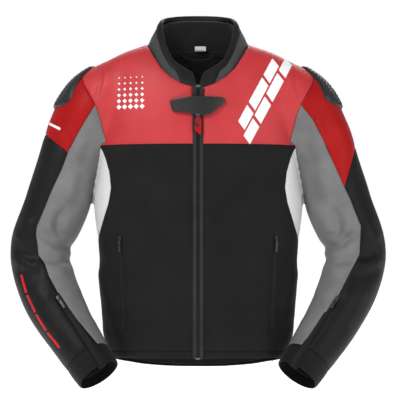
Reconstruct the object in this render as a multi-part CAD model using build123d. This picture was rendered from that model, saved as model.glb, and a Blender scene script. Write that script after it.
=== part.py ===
from build123d import *
import os
from math import cos, pi, radians, sin, tan

# Leather riding jacket, worn shape, front towards -Y, wearer's left towards +X.
# Millimetres. The origin is the centre of the neck opening at the height where
# the shoulder lines meet the collar.

# ---- Driving dimensions -------------------------------------------------
LEATHER = 2.5                # thickness of the shell leather
LINING = 1.2                 # thickness of the lining
LINING_DEPTH = 11.0          # how far the lining lies inside the shell
SEAM = 0.8                   # gap left between neighbouring panels
SHAPE = 2.3                  # squareness of the body sections, 2 is an ellipse
HEM_Z = -655.0               # height of the hem at the side seams
HEM_FRONT_Z = -642.0
HEM_BACK_Z = -693.0          # the back hangs lower than the front
HEM_BAND = 15.0              # height of the band round the hem
YOKE_Z = -213.0              # lower edge of the chest and back yokes
ZIP_FRONT = -113.0           # the front zip lies in this upright plane
ZIP_TOP = -97.0
ZIP_SLOT = 11.0              # half width of the slot for the front zip
SLIDER_Z = -146.0            # centre of the front slider when closed
ELBOW_FLEX = 60.0            # how far the elbow bends
ELBOW = Vector(331, 2, -438)             # elbow centre of the left arm
SHOULDER = Vector(248, 5, -191)          # centre of the cut below the shoulder
SHOULDER_NORMAL = Vector(0.756, 0, -0.654)
FAR = 600.0                  # reach of the cutting blocks

# Body sections from hem to neck: height, half width, front depth, back depth,
# and the upward lean of the surface at the side.
BODY_ROWS = [
    (-700, 162, 110, 96, 0.0),
    (-655, 182, 112, 101, 0.0),
    (-610, 198, 114, 105, 0.0),
    (-530, 205, 114, 103, 0.0),
    (-420, 209, 114, 99, 0.0),
    (-320, 210, 114, 106, 0.0),
    (-213, 204, 115, 115, 0.0),
    (-130, 207, 112, 111, 0.1),
    (-80, 209, 102, 99, 0.3),
    (-46, 203, 89, 87, 0.7),
    (-22, 167, 77, 75, 0.9),
    (4, 102, 64, 63, 0.9),
]

# Arm stations of the left arm from shoulder to wrist: x, y, z of the centre,
# half width across the arm seen from the front, and half depth front to back.
ARM_ROWS = [
    (150, 4, -88, 68, 76),
    (210, 5, -132, 75, 77),
    (248, 5, -191, 68, 71),
    (275, 4, -255, 61, 66),
    (299, 3, -332, 62, 64),
    (331, 2, -438, 61, 61),
    (315, -18, -499, 60, 60),
    (281, -48, -560, 57, 57),
    (237, -82, -621, 50, 50),
    (197, -112, -674, 44, 43),
]
CUFF_LENGTH = 44.0

# Neckline seen from the front, right half from shoulder to centre.
NECKLINE = [(107, -2), (91, -32), (75, -58), (56, -77), (33, -91), (0, -97)]
NECK_TOP = 3.0                # the shell ends here at the back of the neck

# Collar stations of the left half, from the zip round to the centre back:
# foot of the band and its top edge.
COLLAR_ROWS = [
    ((6.5, -108, -96), (8, -88, -71)),
    ((31, -104, -91), (29, -84, -61)),
    ((56, -94, -76), (48, -74, -48)),
    ((77, -76, -56), (64, -57, -21)),
    ((94, -49, -29), (75, -33, 13)),
    ((104, -14, -5), (81, -7, 41)),
    ((97, 28, 4), (75, 25, 54)),
    ((66, 56, 5), (52, 49, 61)),
    ((0, 68, 5), (0, 59, 64)),
]
COLLAR_THICK = 4.0
EDGE_HEIGHT = 8.0
EDGE_THICK = 7.0

os.makedirs("parts", exist_ok=True)


# ---- Small helpers ------------------------------------------------------
def write(name, shape):
    """Keeps one node: a solid or a group of solids."""
    solids = shape.solids()
    kept = solids[0] if len(solids) == 1 else Compound(children=list(solids))
    export_step(kept, f"parts/{name}.step")


def largest(shape):
    """The largest solid, without the slivers that a cut can leave."""
    return max(shape.solids(), key=lambda solid: solid.volume)


def mirrored(shape):
    return shape.mirror(Plane.YZ)


def block(low, high):
    """An upright box from its lowest to its highest corner."""
    size = [high[i] - low[i] for i in range(3)]
    middle = [(high[i] + low[i]) / 2 for i in range(3)]
    return Pos(*middle) * Box(*size)


def prism(outline, start_y, end_y):
    """An outline of (x, z) points carried from one depth to another."""
    wire = Wire.make_polygon([Vector(x, start_y, z) for x, z in outline], close=True)
    return Solid.extrude(Face(wire), Vector(0, end_y - start_y, 0))


def half_space(point, normal):
    """A large block on the side of the plane that the normal points to."""
    plane = Plane(origin=point, z_dir=normal)
    return plane * (Pos(0, 0, FAR / 2) * Box(2 * FAR, 2 * FAR, FAR))


def superellipse(half_width, front, back):
    """Points round a body section, blunter than an ellipse."""
    points = []
    for step in range(16):
        angle = 2 * pi * step / 16
        c, s = cos(angle), sin(angle)
        depth = back if s > 0 else front
        x = half_width * abs(c) ** (2 / SHAPE) * (1 if c > 0 else -1)
        y = depth * abs(s) ** (2 / SHAPE) * (1 if s > 0 else -1)
        points.append((x if abs(c) > 1e-9 else 0, y if abs(s) > 1e-9 else 0))
    return points


def body_wire(z, half_width, front, back):
    points = [Vector(x, y, z) for x, y in superellipse(half_width, front, back)]
    return Wire([Edge.make_spline(points, periodic=True)])


def body(inset):
    """The torso as a solid form, shrunk by inset and run on past both ends."""
    wires = []
    for z, half_width, front, back, lean in BODY_ROWS:
        drop = inset * lean
        out = inset * (1 - lean * lean) ** 0.5
        wires.append(body_wire(z - drop, half_width - out, front - inset, back - inset))
    first = BODY_ROWS[0]
    below = body_wire(first[0] - 30, first[1] - inset, first[2] - inset, first[3] - inset)
    return Solid.make_loft([below] + wires)


def arm(inset):
    """The left arm as a solid form from inside the shoulder to the wrist."""
    centres = [Vector(x, y, z) for x, y, z, _, _ in ARM_ROWS]
    wires = []
    for i, (_, _, _, across, deep) in enumerate(ARM_ROWS):
        before = centres[max(i - 1, 0)]
        after = centres[min(i + 1, len(centres) - 1)]
        along = (after - before).normalized()
        plane = Plane(origin=centres[i], x_dir=along.cross(Vector(0, 1, 0)), z_dir=along)
        wires.append(Wire([Edge.make_ellipse(across - inset, deep - inset, plane)]))
    last = (centres[-1] - centres[-2]).normalized()
    over = Plane(origin=centres[-1] + last * 12, x_dir=last.cross(Vector(0, 1, 0)), z_dir=last)
    _, _, _, across, deep = ARM_ROWS[-1]
    wires.append(Wire([Edge.make_ellipse(across - inset - 1, deep - inset - 1, over)]))
    return Solid.make_loft(wires)


# ---- Shared forms -------------------------------------------------------
body_forms = {}
arm_forms = {}


def body_form(inset):
    if inset not in body_forms:
        body_forms[inset] = body(inset)
    return body_forms[inset]


def arm_form(inset):
    if inset not in arm_forms:
        arm_forms[inset] = arm(inset)
    return arm_forms[inset]


def body_skin(outer, inner):
    return body_form(outer) - body_form(inner)


def arm_skin(outer, inner):
    return arm_form(outer) - arm_form(inner)


def neck_cut(ease):
    """What the neck opening takes out of the shell, grown by ease."""
    left = [(x + ease, z - ease) for x, z in NECKLINE]
    right = [(-x, z) for x, z in reversed(left[:-1])]
    outline = [(107 + ease, 90)] + left + right + [(-107 - ease, 90)]
    front = prism(outline, -FAR / 2, 10)
    hole = Pos(0, 0, 50) * extrude(Ellipse(88 + ease, 58 + ease), 60, both=True)
    top = block((-FAR, -FAR, NECK_TOP - ease), (FAR, FAR, FAR))
    return front + hole + top


SHOULDER_IN = half_space(SHOULDER - SHOULDER_NORMAL * SEAM, SHOULDER_NORMAL * -1)
SHOULDER_OUT = half_space(SHOULDER + SHOULDER_NORMAL * SEAM, SHOULDER_NORMAL)
FRONT = block((-FAR, -FAR, -FAR * 2), (FAR, -SEAM / 2, FAR))
BACK = block((-FAR, SEAM / 2, -FAR * 2), (FAR, FAR, FAR))
LEFT = block((ZIP_SLOT, -FAR, -FAR * 2), (FAR, FAR, FAR))
ABOVE_YOKE = block((-FAR, -FAR, YOKE_Z + SEAM / 2), (FAR, FAR, FAR))


def above_hem(rise):
    """Everything higher than the hem line, which drops towards the back."""
    line = [(-FAR, HEM_FRONT_Z), (-110, HEM_FRONT_Z), (0, HEM_Z), (60, HEM_Z - 19)]
    line += [(105, HEM_BACK_Z), (FAR, HEM_BACK_Z)]
    points = [Vector(-FAR, y, z + rise) for y, z in line]
    points += [Vector(-FAR, FAR, FAR), Vector(-FAR, -FAR, FAR)]
    return Solid.extrude(Face(Wire.make_polygon(points, close=True)), Vector(2 * FAR, 0, 0))


BELOW_YOKE = above_hem(HEM_BAND + SEAM) - block((-FAR, -FAR, YOKE_Z - SEAM / 2), (FAR, FAR, FAR * 2))
END = above_hem(0) - above_hem(HEM_BAND)


def side_panel_block(grow):
    """The lens of the white panel under the arm, seen from the front."""
    edge = [(203, -219), (190, -262), (184, -300), (189, -330), (199, -362), (206, -391)]
    inner = [(x - grow, z) for x, z in edge]
    inner[0] = (edge[0][0] - grow, edge[0][1] + grow)
    inner[-1] = (edge[-1][0] - grow, edge[-1][1] - grow)
    return prism(inner + [(260, -391 - grow), (260, -219 + grow)], -FAR / 3, FAR / 3)


# ---- Zips on curved leather ---------------------------------------------
def surface_point(form, x, z):
    """The frontmost point of a form at a place seen from the front."""
    ray = Axis((x, -FAR, z), (0, 1, 0))
    hits = [hit for face in form.faces() for hit in face.find_intersection_points(ray)]
    return min((point for point, _ in hits), key=lambda point: point.Y)


class Track:
    """A straight zip: where it starts, where it ends, and which way is out."""

    def __init__(self, start, end, outward):
        self.start = start
        self.along = (end - start).normalized()
        self.length = (end - start).length
        across = self.along.cross(outward).normalized()
        self.out = across.cross(self.along).normalized()
        self.plane = Plane(origin=start, x_dir=self.along, z_dir=self.out)

    def slab(self, width, before, after, reach=30):
        """A slot along the track, open at the surface."""
        long = self.length + before + after
        middle = Pos((self.length + after - before) / 2, 0, 0)
        return self.plane * (middle * Box(long, width, reach * 2))


POCKET_TOP = surface_point(body_form(0), 158, -397)
POCKET_END = surface_point(body_form(0), 147, -590)
POCKET = Track(POCKET_TOP, POCKET_END, Vector(0.52, -0.85, 0))

CUFF_TOP = surface_point(arm_form(0), 284, -518)
CUFF_END = surface_point(arm_form(0), 190, -648)
CUFF = Track(CUFF_TOP, CUFF_END, Vector(0, -0.88, 0.46))


def small_slider(track, lift):
    """A zip slider that rides on its chain, with a lug for the pull."""
    plate = Pos(5, 0, lift + 1.2) * Box(12, 7, 2.4)
    lug = Pos(8, 0, lift + 3.1) * Box(3, 2.4, 1.4)
    return track.plane * (fillet(plate.edges().filter_by(Axis.Z), 2) + lug)


def small_pull(track, lift):
    """The pull hangs along the zip from the lug of its slider."""
    tab = Pos(25, 0, lift + 3.4) * Box(24, 5.5, 1.4)
    eye = Pos(14.6, 0, lift + 3.4) * Box(3.4, 2.6, 2)
    return track.plane * (fillet(tab.edges().filter_by(Axis.Z), 2) - eye)


# ---- Torso --------------------------------------------------------------
def make_torso():
    arm_hole = arm_form(-SEAM)
    shell = body_skin(0, LEATHER) - neck_cut(3) - arm_hole - mirrored(arm_hole)
    side = side_panel_block(0)
    side_room = side_panel_block(SEAM)
    pocket_room = POCKET.slab(9.6, 4, 4)
    side_shell = largest(shell & side)
    write("side_panel_left", side_shell)
    write("side_panel_right", mirrored(side_shell))
    yoke = largest(shell & FRONT & ABOVE_YOKE & LEFT)
    write("chest_yoke_left", yoke)
    write("chest_yoke_right", mirrored(yoke))
    panel = largest((shell & FRONT & BELOW_YOKE & LEFT) - side_room - pocket_room)
    write("front_panel_left", panel)
    write("front_panel_right", mirrored(panel))
    write("back_yoke", largest(shell & BACK & ABOVE_YOKE))
    back = (shell & BACK & BELOW_YOKE) - side_room - mirrored(side_room)
    write("back_panel", largest(back))
    slot = block((-ZIP_SLOT, -FAR, -FAR * 2), (ZIP_SLOT, 0, FAR))
    write("hem_band", largest((body_skin(0, LEATHER + 0.5) & END) - slot))


def make_lining():
    inner = LINING_DEPTH + LINING
    hole = arm_form(-2.0)
    front_gap = block((-ZIP_SLOT - 3, -FAR, -FAR * 2), (ZIP_SLOT + 3, 0, FAR))
    bag = body_skin(LINING_DEPTH, inner) - neck_cut(6) - hole - mirrored(hole) - front_gap
    write("torso_lining", largest(bag & above_hem(6)))


def make_protectors():
    spine = [(-95, -150), (95, -150), (120, -200), (110, -330), (80, -470), (-80, -470)]
    spine += [(-110, -330), (-120, -200)]
    pad = body_skin(LEATHER + 1.5, LINING_DEPTH - 1) & prism(spine, 20, FAR / 2)
    write("back_protector", largest(pad))
    cap = arm_skin(LEATHER + 1, LEATHER + 8) & SHOULDER_IN & shoulder_outline(-6)
    cap = largest(cap - body_form(-2))
    write("shoulder_protector_left", cap)
    write("shoulder_protector_right", mirrored(cap))


def shoulder_outline(grow):
    """The almond of the shoulder armour, cut square to the sloping shoulder."""
    plane = Plane(origin=(262, 5, -88), x_dir=(0.55, 0, -0.835), z_dir=(0.835, 0, 0.55))
    almond = Ellipse(62 + grow, 44 + grow)
    return plane * extrude(almond, 70, both=True)


def make_shoulders():
    head = (arm_skin(0, LEATHER) & SHOULDER_IN) - body_form(-SEAM)
    head = largest(head)
    write("sleeve_head_left", head)
    write("sleeve_head_right", mirrored(head))
    limit = half_space(SHOULDER - SHOULDER_NORMAL * 2, SHOULDER_NORMAL * -1)
    armour = arm_skin(-9, -SEAM) & shoulder_outline(0) & limit
    armour = largest(armour - body_form(-SEAM))
    write("shoulder_slider_left", armour)
    write("shoulder_slider_right", mirrored(armour))


# ---- Collar -------------------------------------------------------------
def collar_stations():
    """Both halves of the collar, from the left zip edge round the back."""
    left = [(Vector(*foot), Vector(*top)) for foot, top in COLLAR_ROWS]
    right = [(Vector(-f.X, f.Y, f.Z), Vector(-t.X, t.Y, t.Z)) for f, t in reversed(left[:-1])]
    return left + right


def band(low, high, inward, thick):
    """A collar strip lofted through upright slices; low and high are heights."""
    slices = []
    stations = collar_stations()
    for i, (foot, top) in enumerate(stations):
        before = stations[max(i - 1, 0)][0]
        after = stations[min(i + 1, len(stations) - 1)][0]
        up = (top - foot).normalized()
        inside = (after - before).normalized().cross(up).normalized() * -1
        long = (top - foot).length
        base = foot + up * low + inside * inward
        tip = foot + up * (long + high) + inside * inward
        corners = [base, tip, tip + inside * thick, base + inside * thick]
        slices.append(Wire.make_polygon(corners, close=True))
    return Solid.make_loft(slices)


def edge_band():
    """The padded edge that caps the collar."""
    slices = []
    stations = collar_stations()
    for i, (foot, top) in enumerate(stations):
        before = stations[max(i - 1, 0)][1]
        after = stations[min(i + 1, len(stations) - 1)][1]
        along = (after - before).normalized()
        up = (top - foot).normalized()
        inside = along.cross(up).normalized() * -1
        centre = top + up * (EDGE_HEIGHT / 2 + 3.6 * SEAM) + inside * (COLLAR_THICK / 2)
        plane = Plane(origin=centre, x_dir=up, z_dir=up.cross(inside))
        slices.append(Wire([Edge.make_ellipse(EDGE_HEIGHT / 2, EDGE_THICK / 2, plane)]))
    return Solid.make_loft(slices)


def make_collar():
    strip = band(1.5, 0, 0, COLLAR_THICK)
    write("collar_band", strip)
    write("collar_edge", edge_band())
    label = block((-7, 47.6, -6), (17, 48.4, 4.5))
    write("neck_label", label)
    ring = Ellipse(34, 16) - Ellipse(30, 12)
    upper = Pos(0, 30, 0) * Rectangle(100, 60)
    loop = Plane(origin=(0, 46, -12), x_dir=(1, 0, 0), z_dir=(0, -1, 0)) * extrude(ring - upper, 1.5)
    write("hanger_loop", loop)


# ---- Front zip ----------------------------------------------------------
def make_front_zip():
    length = ZIP_TOP - HEM_FRONT_Z - 4
    middle_z = (ZIP_TOP + HEM_FRONT_Z + 4) / 2
    tape = Pos(6.2, ZIP_FRONT + 0.5, middle_z) * Box(7.8, 1, length)
    write("front_zip_tape_left", tape)
    write("front_zip_tape_right", mirrored(tape))
    row = Pos(2.6, ZIP_FRONT - 1.6, middle_z) * Box(2.6, 1.8, length)
    write("front_zip_teeth", Compound(children=[row, mirrored(row)]))
    foot = Pos(0, ZIP_FRONT - 1.2, HEM_FRONT_Z + 1.6) * Box(10, 5, 4)
    write("zip_bottom_box", foot)
    plate = Pos(0, ZIP_FRONT - 4.4, SLIDER_Z) * Box(13, 2.2, 22)
    plate = fillet(plate.edges().filter_by(Axis.Y), 3)
    bridge = Pos(0, ZIP_FRONT - 1, SLIDER_Z) * Box(1.4, 7.5, 9)
    under = Pos(0, ZIP_FRONT + 3.2, SLIDER_Z) * Box(11, 2.2, 20)
    write("front_zip_slider", plate + bridge + under)
    hinge_z = SLIDER_Z - 12.5
    link = Pos(0, ZIP_FRONT - 5.6, hinge_z - 4.4) * Box(6, 1.2, 11)
    write("front_zip_pull", fillet(link.edges().filter_by(Axis.Y), 1.5))
    strip = [(-5, hinge_z - 6), (7, hinge_z - 6), (7, -197), (-9, -182), (-5, -176)]
    depth = ZIP_FRONT - 7.8
    strap = prism(strip, depth, depth + 1.2)
    eye = Pos(-2, depth, -176) * Rot(90, 0, 0) * Cylinder(2.2, 6)
    write("pull_strap", strap - eye)
    shank = Pos(-2, depth + 0.4, -176) * Rot(90, 0, 0) * Cylinder(1.9, 2.6)
    cap = Pos(-2, depth - 1.3, -176) * Rot(90, 0, 0) * Cylinder(4, 1.2)
    write("pull_rivet", shank + cap)


def make_badge():
    """The rubber tab that covers the top of the zip, held by a press stud."""
    outline = [(-56, -122), (-10, -115), (52, -117), (57, -124), (23, -153)]
    outline += [(-10, -153), (-17, -148), (-51, -146)]
    radius = 193
    centre_y = ZIP_FRONT - 13 + radius
    bow = Pos(0, centre_y, -135) * (Cylinder(radius, 60) - Cylinder(radius - 4, 60))
    tab = largest(bow & prism(outline, -FAR / 3, -100))
    write("badge_tab", tab)
    stud = Pos(-46, -113.6, -135) * Rot(90, 0, 0) * Cylinder(5, 1.6)
    write("badge_snap", stud)


# ---- Pockets ------------------------------------------------------------
def make_pockets():
    chain = largest(body_skin(-1, 1.5) & POCKET.slab(8, 3, 3))
    write("pocket_zip_left", chain)
    write("pocket_zip_right", mirrored(chain))
    slider = small_slider(POCKET, 2.6)
    write("pocket_slider_left", slider)
    write("pocket_slider_right", mirrored(slider))
    pull = small_pull(POCKET, 2.6)
    write("pocket_pull_left", pull)
    write("pocket_pull_right", mirrored(pull))
    bag_outline = [(60, -400), (168, -395), (160, -596), (60, -600)]
    bag = largest(body_skin(LEATHER + 1.2, LEATHER + 4.2) & prism(bag_outline, -FAR / 3, -10))
    write("pocket_bag_left", bag)
    write("pocket_bag_right", mirrored(bag))
    waist = body_skin(LEATHER + 1.2, LEATHER + 3.2) & block((-120, 20, HEM_Z), (120, FAR, HEM_Z + 16))
    write("waist_zip", largest(waist))


# ---- Sleeves ------------------------------------------------------------
def elbow_block(half_angle, gap):
    """What the elbow opening takes out: a wedge in the crook and a thin rear cut."""
    rise = 150 * tan(radians(half_angle))
    wedge = [(0, gap), (-150, rise), (-150, -rise), (0, -gap), (150, -gap), (150, gap)]
    points = [Vector(ELBOW.X - 120, ELBOW.Y + y, ELBOW.Z + z) for y, z in wedge]
    return Solid.extrude(Face(Wire.make_polygon(points, close=True)), Vector(240, 0, 0))


def elbow_sides():
    """Blocks above and below the elbow, and the crook between them."""
    opening = elbow_block(ELBOW_FLEX / 2 + 2, 1)
    upper = block((0, -FAR, ELBOW.Z), (FAR, FAR, FAR)) - opening
    lower = block((0, -FAR, -FAR * 2), (FAR, FAR, ELBOW.Z)) - opening
    return upper, lower


# Line between the grey and the black leather of the sleeve, from the front.
SLEEVE_LINE = [(281, -240), (312, -322), (334, -388)]
FOREARM_LINE = [(331, -438), (314, -459), (298, -497), (246, -560), (209, -606), (150, -690)]


def inboard(line, grow, reach):
    """Everything between a sleeve line and the body."""
    near = [(x - grow, z) for x, z in line]
    return prism([(0, near[0][1])] + near + [(0, near[-1][1])], -FAR / 2, reach)


def make_sleeves():
    upper_side, lower_side = elbow_sides()
    skin = arm_skin(0, LEATHER)
    upper = (skin & SHOULDER_OUT) & upper_side
    grey_line = [(262, 0)] + SLEEVE_LINE + [(331, ELBOW.Z - 4)]
    grey_upper = largest(upper & inboard(grey_line, SEAM, 42))
    black_upper = largest(upper - inboard(grey_line, 0, 42 + SEAM))
    write("upper_sleeve_front_left", grey_upper)
    write("upper_sleeve_front_right", mirrored(grey_upper))
    write("upper_sleeve_outer_left", black_upper)
    write("upper_sleeve_outer_right", mirrored(black_upper))
    crook = skin & elbow_block(ELBOW_FLEX / 2 + 1, 0.2) & block((0, -FAR, -FAR), (FAR, ELBOW.Y - 4, FAR))
    crook = largest(crook)
    write("elbow_stretch_left", crook)
    write("elbow_stretch_right", mirrored(crook))

    wrist = Vector(*ARM_ROWS[-1][:3])
    along = (wrist - Vector(*ARM_ROWS[-2][:3])).normalized()
    cuff_start = wrist - along * CUFF_LENGTH
    above_cuff = half_space(cuff_start - along * SEAM, along * -1)
    lower = (skin & lower_side) & above_cuff
    lower = lower - CUFF.slab(11, 4, 40)
    grey_lower = largest(lower & inboard(FOREARM_LINE, SEAM, -10))
    black_lower = largest(lower - inboard(FOREARM_LINE, 0, -10 + SEAM))
    write("forearm_front_left", grey_lower)
    write("forearm_front_right", mirrored(grey_lower))
    write("forearm_outer_left", black_lower)
    write("forearm_outer_right", mirrored(black_lower))

    end = half_space(wrist, along * -1)
    ring = arm_skin(1, 4) & half_space(cuff_start, along) & end
    cuff = largest(ring - CUFF.slab(11, 4, 40))
    write("cuff_left", cuff)
    write("cuff_right", mirrored(cuff))

    pad = arm_skin(LEATHER + 1, LEATHER + 9) & block((0, ELBOW.Y + 8, -560), (FAR, FAR, ELBOW.Z - 2))
    write("elbow_protector_left", largest(pad))
    write("elbow_protector_right", mirrored(largest(pad)))
    make_cuff_zips(end)


def make_cuff_zips(end):
    chain = largest(arm_skin(-1, 1.5) & CUFF.slab(9.4, 3, 12) & end)
    write("cuff_zip_left", chain)
    write("cuff_zip_right", mirrored(chain))
    slider = small_slider(CUFF, 2.6)
    write("cuff_slider_left", slider)
    write("cuff_slider_right", mirrored(slider))
    pull = small_pull(CUFF, 2.6)
    write("cuff_pull_left", pull)
    write("cuff_pull_right", mirrored(pull))


make_torso()
make_lining()
make_protectors()
make_shoulders()
make_collar()
make_front_zip()
make_badge()
make_pockets()
make_sleeves()
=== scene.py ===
"""Leather riding jacket: the looks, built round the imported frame. Lengths in the tables are millimetres."""
from math import cos, pi, radians, sin

import bmesh
import bpy
import numpy as np
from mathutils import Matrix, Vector
from mathutils.bvhtree import BVHTree
from mathutils.kdtree import KDTree


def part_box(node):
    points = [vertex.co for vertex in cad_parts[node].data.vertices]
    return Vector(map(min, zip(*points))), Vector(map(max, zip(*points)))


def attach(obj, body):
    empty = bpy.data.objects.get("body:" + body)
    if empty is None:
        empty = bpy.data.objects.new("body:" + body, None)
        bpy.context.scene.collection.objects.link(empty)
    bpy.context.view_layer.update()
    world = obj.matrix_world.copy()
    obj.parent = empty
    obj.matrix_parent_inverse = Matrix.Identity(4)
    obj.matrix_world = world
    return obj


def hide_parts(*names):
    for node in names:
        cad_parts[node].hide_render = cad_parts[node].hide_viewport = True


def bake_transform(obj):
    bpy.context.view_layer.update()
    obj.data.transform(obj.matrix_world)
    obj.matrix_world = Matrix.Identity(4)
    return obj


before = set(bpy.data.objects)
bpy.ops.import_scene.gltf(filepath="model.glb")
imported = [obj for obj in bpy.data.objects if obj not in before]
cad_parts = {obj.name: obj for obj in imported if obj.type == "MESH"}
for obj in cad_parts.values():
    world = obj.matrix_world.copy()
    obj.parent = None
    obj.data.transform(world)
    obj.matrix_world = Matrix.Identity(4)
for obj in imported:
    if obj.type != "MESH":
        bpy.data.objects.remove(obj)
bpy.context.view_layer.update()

MM = 0.001
SIDES = (("left", 1), ("right", -1))
LEATHER = 2.2                 # shell thickness
HEM = [(-300, -642), (-110, -642), (0, -655), (60, -674), (105, -693), (300, -693)]
YOKE_Z = -213.0
ZIP_SLOT = 10.6
VOXEL = 3.6
CUFF_LENGTH = 44.0

# Body sections: height, half width, front depth, back depth.
BODY_ROWS = [
    (-735, 150, 106, 90), (-700, 163, 110, 96), (-655, 183, 112, 101), (-610, 198, 114, 105),
    (-530, 205, 114, 103), (-420, 209, 114, 99), (-330, 217, 114, 106), (-270, 210, 115, 112),
    (-213, 205, 115, 115), (-130, 207, 112, 112), (-80, 208, 102, 100), (-46, 202, 89, 88),
    (-22, 167, 77, 76), (4, 102, 64, 63), (30, 84, 58, 58),
]
# Left arm stations: centre x, y, z, half width across, half depth.
ARM_ROWS = [
    (120, 4, -70, 60, 68), (150, 4, -88, 67, 75), (210, 5, -132, 76, 77), (248, 5, -191, 70, 71),
    (272, 4, -255, 66, 66), (295, 3, -332, 67, 64), (331, 2, -438, 62, 62), (315, -18, -499, 61, 60),
    (281, -48, -560, 57, 57), (237, -82, -621, 50, 50), (197, -112, -674, 45, 44),
    (184, -122, -691, 44, 43),
]
BODY_POWER = 2.3


# ---- Small mathematics ---------------------------------------------------
def table_curve(keys, values, at):
    """A smooth curve through a table of values: cubic pieces with matched slopes."""
    keys, values = np.asarray(keys, float), np.asarray(values, float)
    slopes = np.gradient(values, keys, axis=0)
    at = np.clip(np.asarray(at, float), keys[0], keys[-1])
    i = np.clip(np.searchsorted(keys, at) - 1, 0, len(keys) - 2)
    span = keys[i + 1] - keys[i]
    t = (at - keys[i]) / span
    shape = (slice(None),) + (None,) * (values.ndim - 1)
    t, span = t[shape], span[shape]
    a, b = 2 * t ** 3 - 3 * t ** 2 + 1, t ** 3 - 2 * t ** 2 + t
    c, d = 3 * t ** 2 - 2 * t ** 3, t ** 3 - t ** 2
    return a * values[i] + b * span * slopes[i] + c * values[i + 1] + d * span * slopes[i + 1]


def unit(v):
    return v / np.maximum(np.linalg.norm(v, axis=-1, keepdims=True), 1e-12)


def smoothstep(low, high, x):
    """0 at low and 1 at high, smooth between; low may be the larger."""
    t = np.clip((x - low) / (high - low), 0, 1)
    return t * t * (3 - 2 * t)


def line_distance(points, x, z):
    """Signed distance to an open line in the (x, z) plane, positive on its left; the ends run on."""
    points = np.asarray(points, float)
    best, sign, depth = np.full(x.shape, 1e9), np.ones(x.shape), np.zeros(x.shape)
    last = len(points) - 2
    for i in range(len(points) - 1):
        a, d = points[i], points[i + 1] - points[i]
        size = np.hypot(*d)
        t = ((x - a[0]) * d[0] + (z - a[1]) * d[1]) / size ** 2
        t = np.clip(t, -1e6 if i == 0 else 0, 1e6 if i == last else 1)
        px, pz = x - a[0] - t * d[0], z - a[1] - t * d[1]
        near = np.hypot(px, pz)
        cross = (d[0] * (z - a[1]) - d[1] * (x - a[0])) / size
        tie = np.abs(near - best) < 1e-6
        take = (near < best - 1e-6) | (tie & (np.abs(cross) > depth))
        best = np.where(take, near, best)
        sign = np.where(take, np.sign(cross), sign)
        depth = np.where(take, np.abs(cross), depth)
    return best * np.where(sign == 0, 1, sign)


def path_distance(points, p):
    """Distance from each point to a path of straight runs, and how far along it is, 0 to 1."""
    points = np.asarray(points, float)
    best, share = np.full(len(p), 1e9), np.zeros(len(p))
    count = len(points) - 1
    for i in range(count):
        a, d = points[i], points[i + 1] - points[i]
        t = np.clip(((p - a) @ d) / (d @ d), 0, 1)
        near = np.linalg.norm(p - a - t[:, None] * d, axis=1)
        take = near < best
        best, share = np.where(take, near, best), np.where(take, (i + t) / count, share)
    return best, share


def soft_noise(p, scale, seed):
    """Slow, smooth unevenness between about -1 and 1, the same every run."""
    rng = np.random.default_rng(seed)
    total = np.zeros(len(p))
    for _ in range(6):
        wave = unit(rng.normal(size=3)) * 2 * pi / scale * rng.uniform(0.6, 1.5)
        total += np.sin(p @ wave + rng.uniform(0, 2 * pi))
    return total / 3.2


# ---- The worn form -------------------------------------------------------
def body_ring(z, count=144):
    half, front, back = table_curve([r[0] for r in BODY_ROWS], [r[1:] for r in BODY_ROWS], [z])[0]
    angle = np.arange(count) * 2 * pi / count
    c, s = np.cos(angle), np.sin(angle)
    x = half * np.sign(c) * np.abs(c) ** (2 / BODY_POWER)
    y = np.where(s > 0, back, front) * np.sign(s) * np.abs(s) ** (2 / BODY_POWER)
    return np.stack([x, y, np.full(count, z)], 1)


ARM_CENTRES = np.array([r[:3] for r in ARM_ROWS], float)
ARM_KEYS = np.concatenate([[0], np.cumsum(np.linalg.norm(np.diff(ARM_CENTRES, axis=0), axis=1))])
ARM_END = ARM_KEYS[-1]
WRIST = ARM_KEYS[-2]


def arm_frame(s):
    """Centre, direction, across and forward axes and the two half sizes at arm lengths s."""
    s = np.atleast_1d(np.asarray(s, float))
    centre = table_curve(ARM_KEYS, ARM_CENTRES, s)
    along = unit(table_curve(ARM_KEYS, ARM_CENTRES, s + 2) - table_curve(ARM_KEYS, ARM_CENTRES, s - 2))
    across = unit(np.cross([0, 1.0, 0], along))
    front = unit(np.cross(across, along))
    size = table_curve(ARM_KEYS, [r[3:] for r in ARM_ROWS], s)
    return centre, along, across, front, size


def arm_ring(s, count=112):
    centre, _, across, front, size = [v[0] for v in arm_frame(s)]
    angle = np.arange(count)[:, None] * 2 * pi / count
    return centre + across * size[0] * np.cos(angle) + front * size[1] * np.sin(angle)


ARM_SAMPLES = np.linspace(0, ARM_END, 220)
ARM_LINE = [v for v in arm_frame(ARM_SAMPLES)]


def arm_place(p):
    """Where each point is on the left arm: length along it, angle round it (0 is towards the body,
    90 degrees is the front) and distance out from the sleeve surface."""
    near = np.zeros(len(p), int)
    for i in range(0, len(p), 20000):
        part = p[i:i + 20000]
        far = part @ ARM_LINE[0].T * -2 + np.sum(ARM_LINE[0] ** 2, 1)
        near[i:i + 20000] = np.argmin(far, 1)
    centre, along, across, front, size = [v[near] for v in ARM_LINE]
    r = p - centre
    s = ARM_SAMPLES[near] + np.sum(r * along, 1)
    u, v = np.sum(r * across, 1), np.sum(r * front, 1)
    out = np.hypot(u / size[:, 0], v / size[:, 1])
    return s, np.arctan2(v / size[:, 1], u / size[:, 0]), (out - 1) * size.mean(1)


def body_out(p):
    """Roughly how far each point lies outside the body form."""
    row = table_curve([r[0] for r in BODY_ROWS], [r[1:] for r in BODY_ROWS], p[:, 2])
    depth = np.where(p[:, 1] > 0, row[:, 2], row[:, 1])
    level = np.abs(p[:, 0] / row[:, 0]) ** BODY_POWER + np.abs(p[:, 1] / depth) ** BODY_POWER
    level = level ** (1 / BODY_POWER)
    return (level - 1) * np.minimum(row[:, 0], depth)


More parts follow.
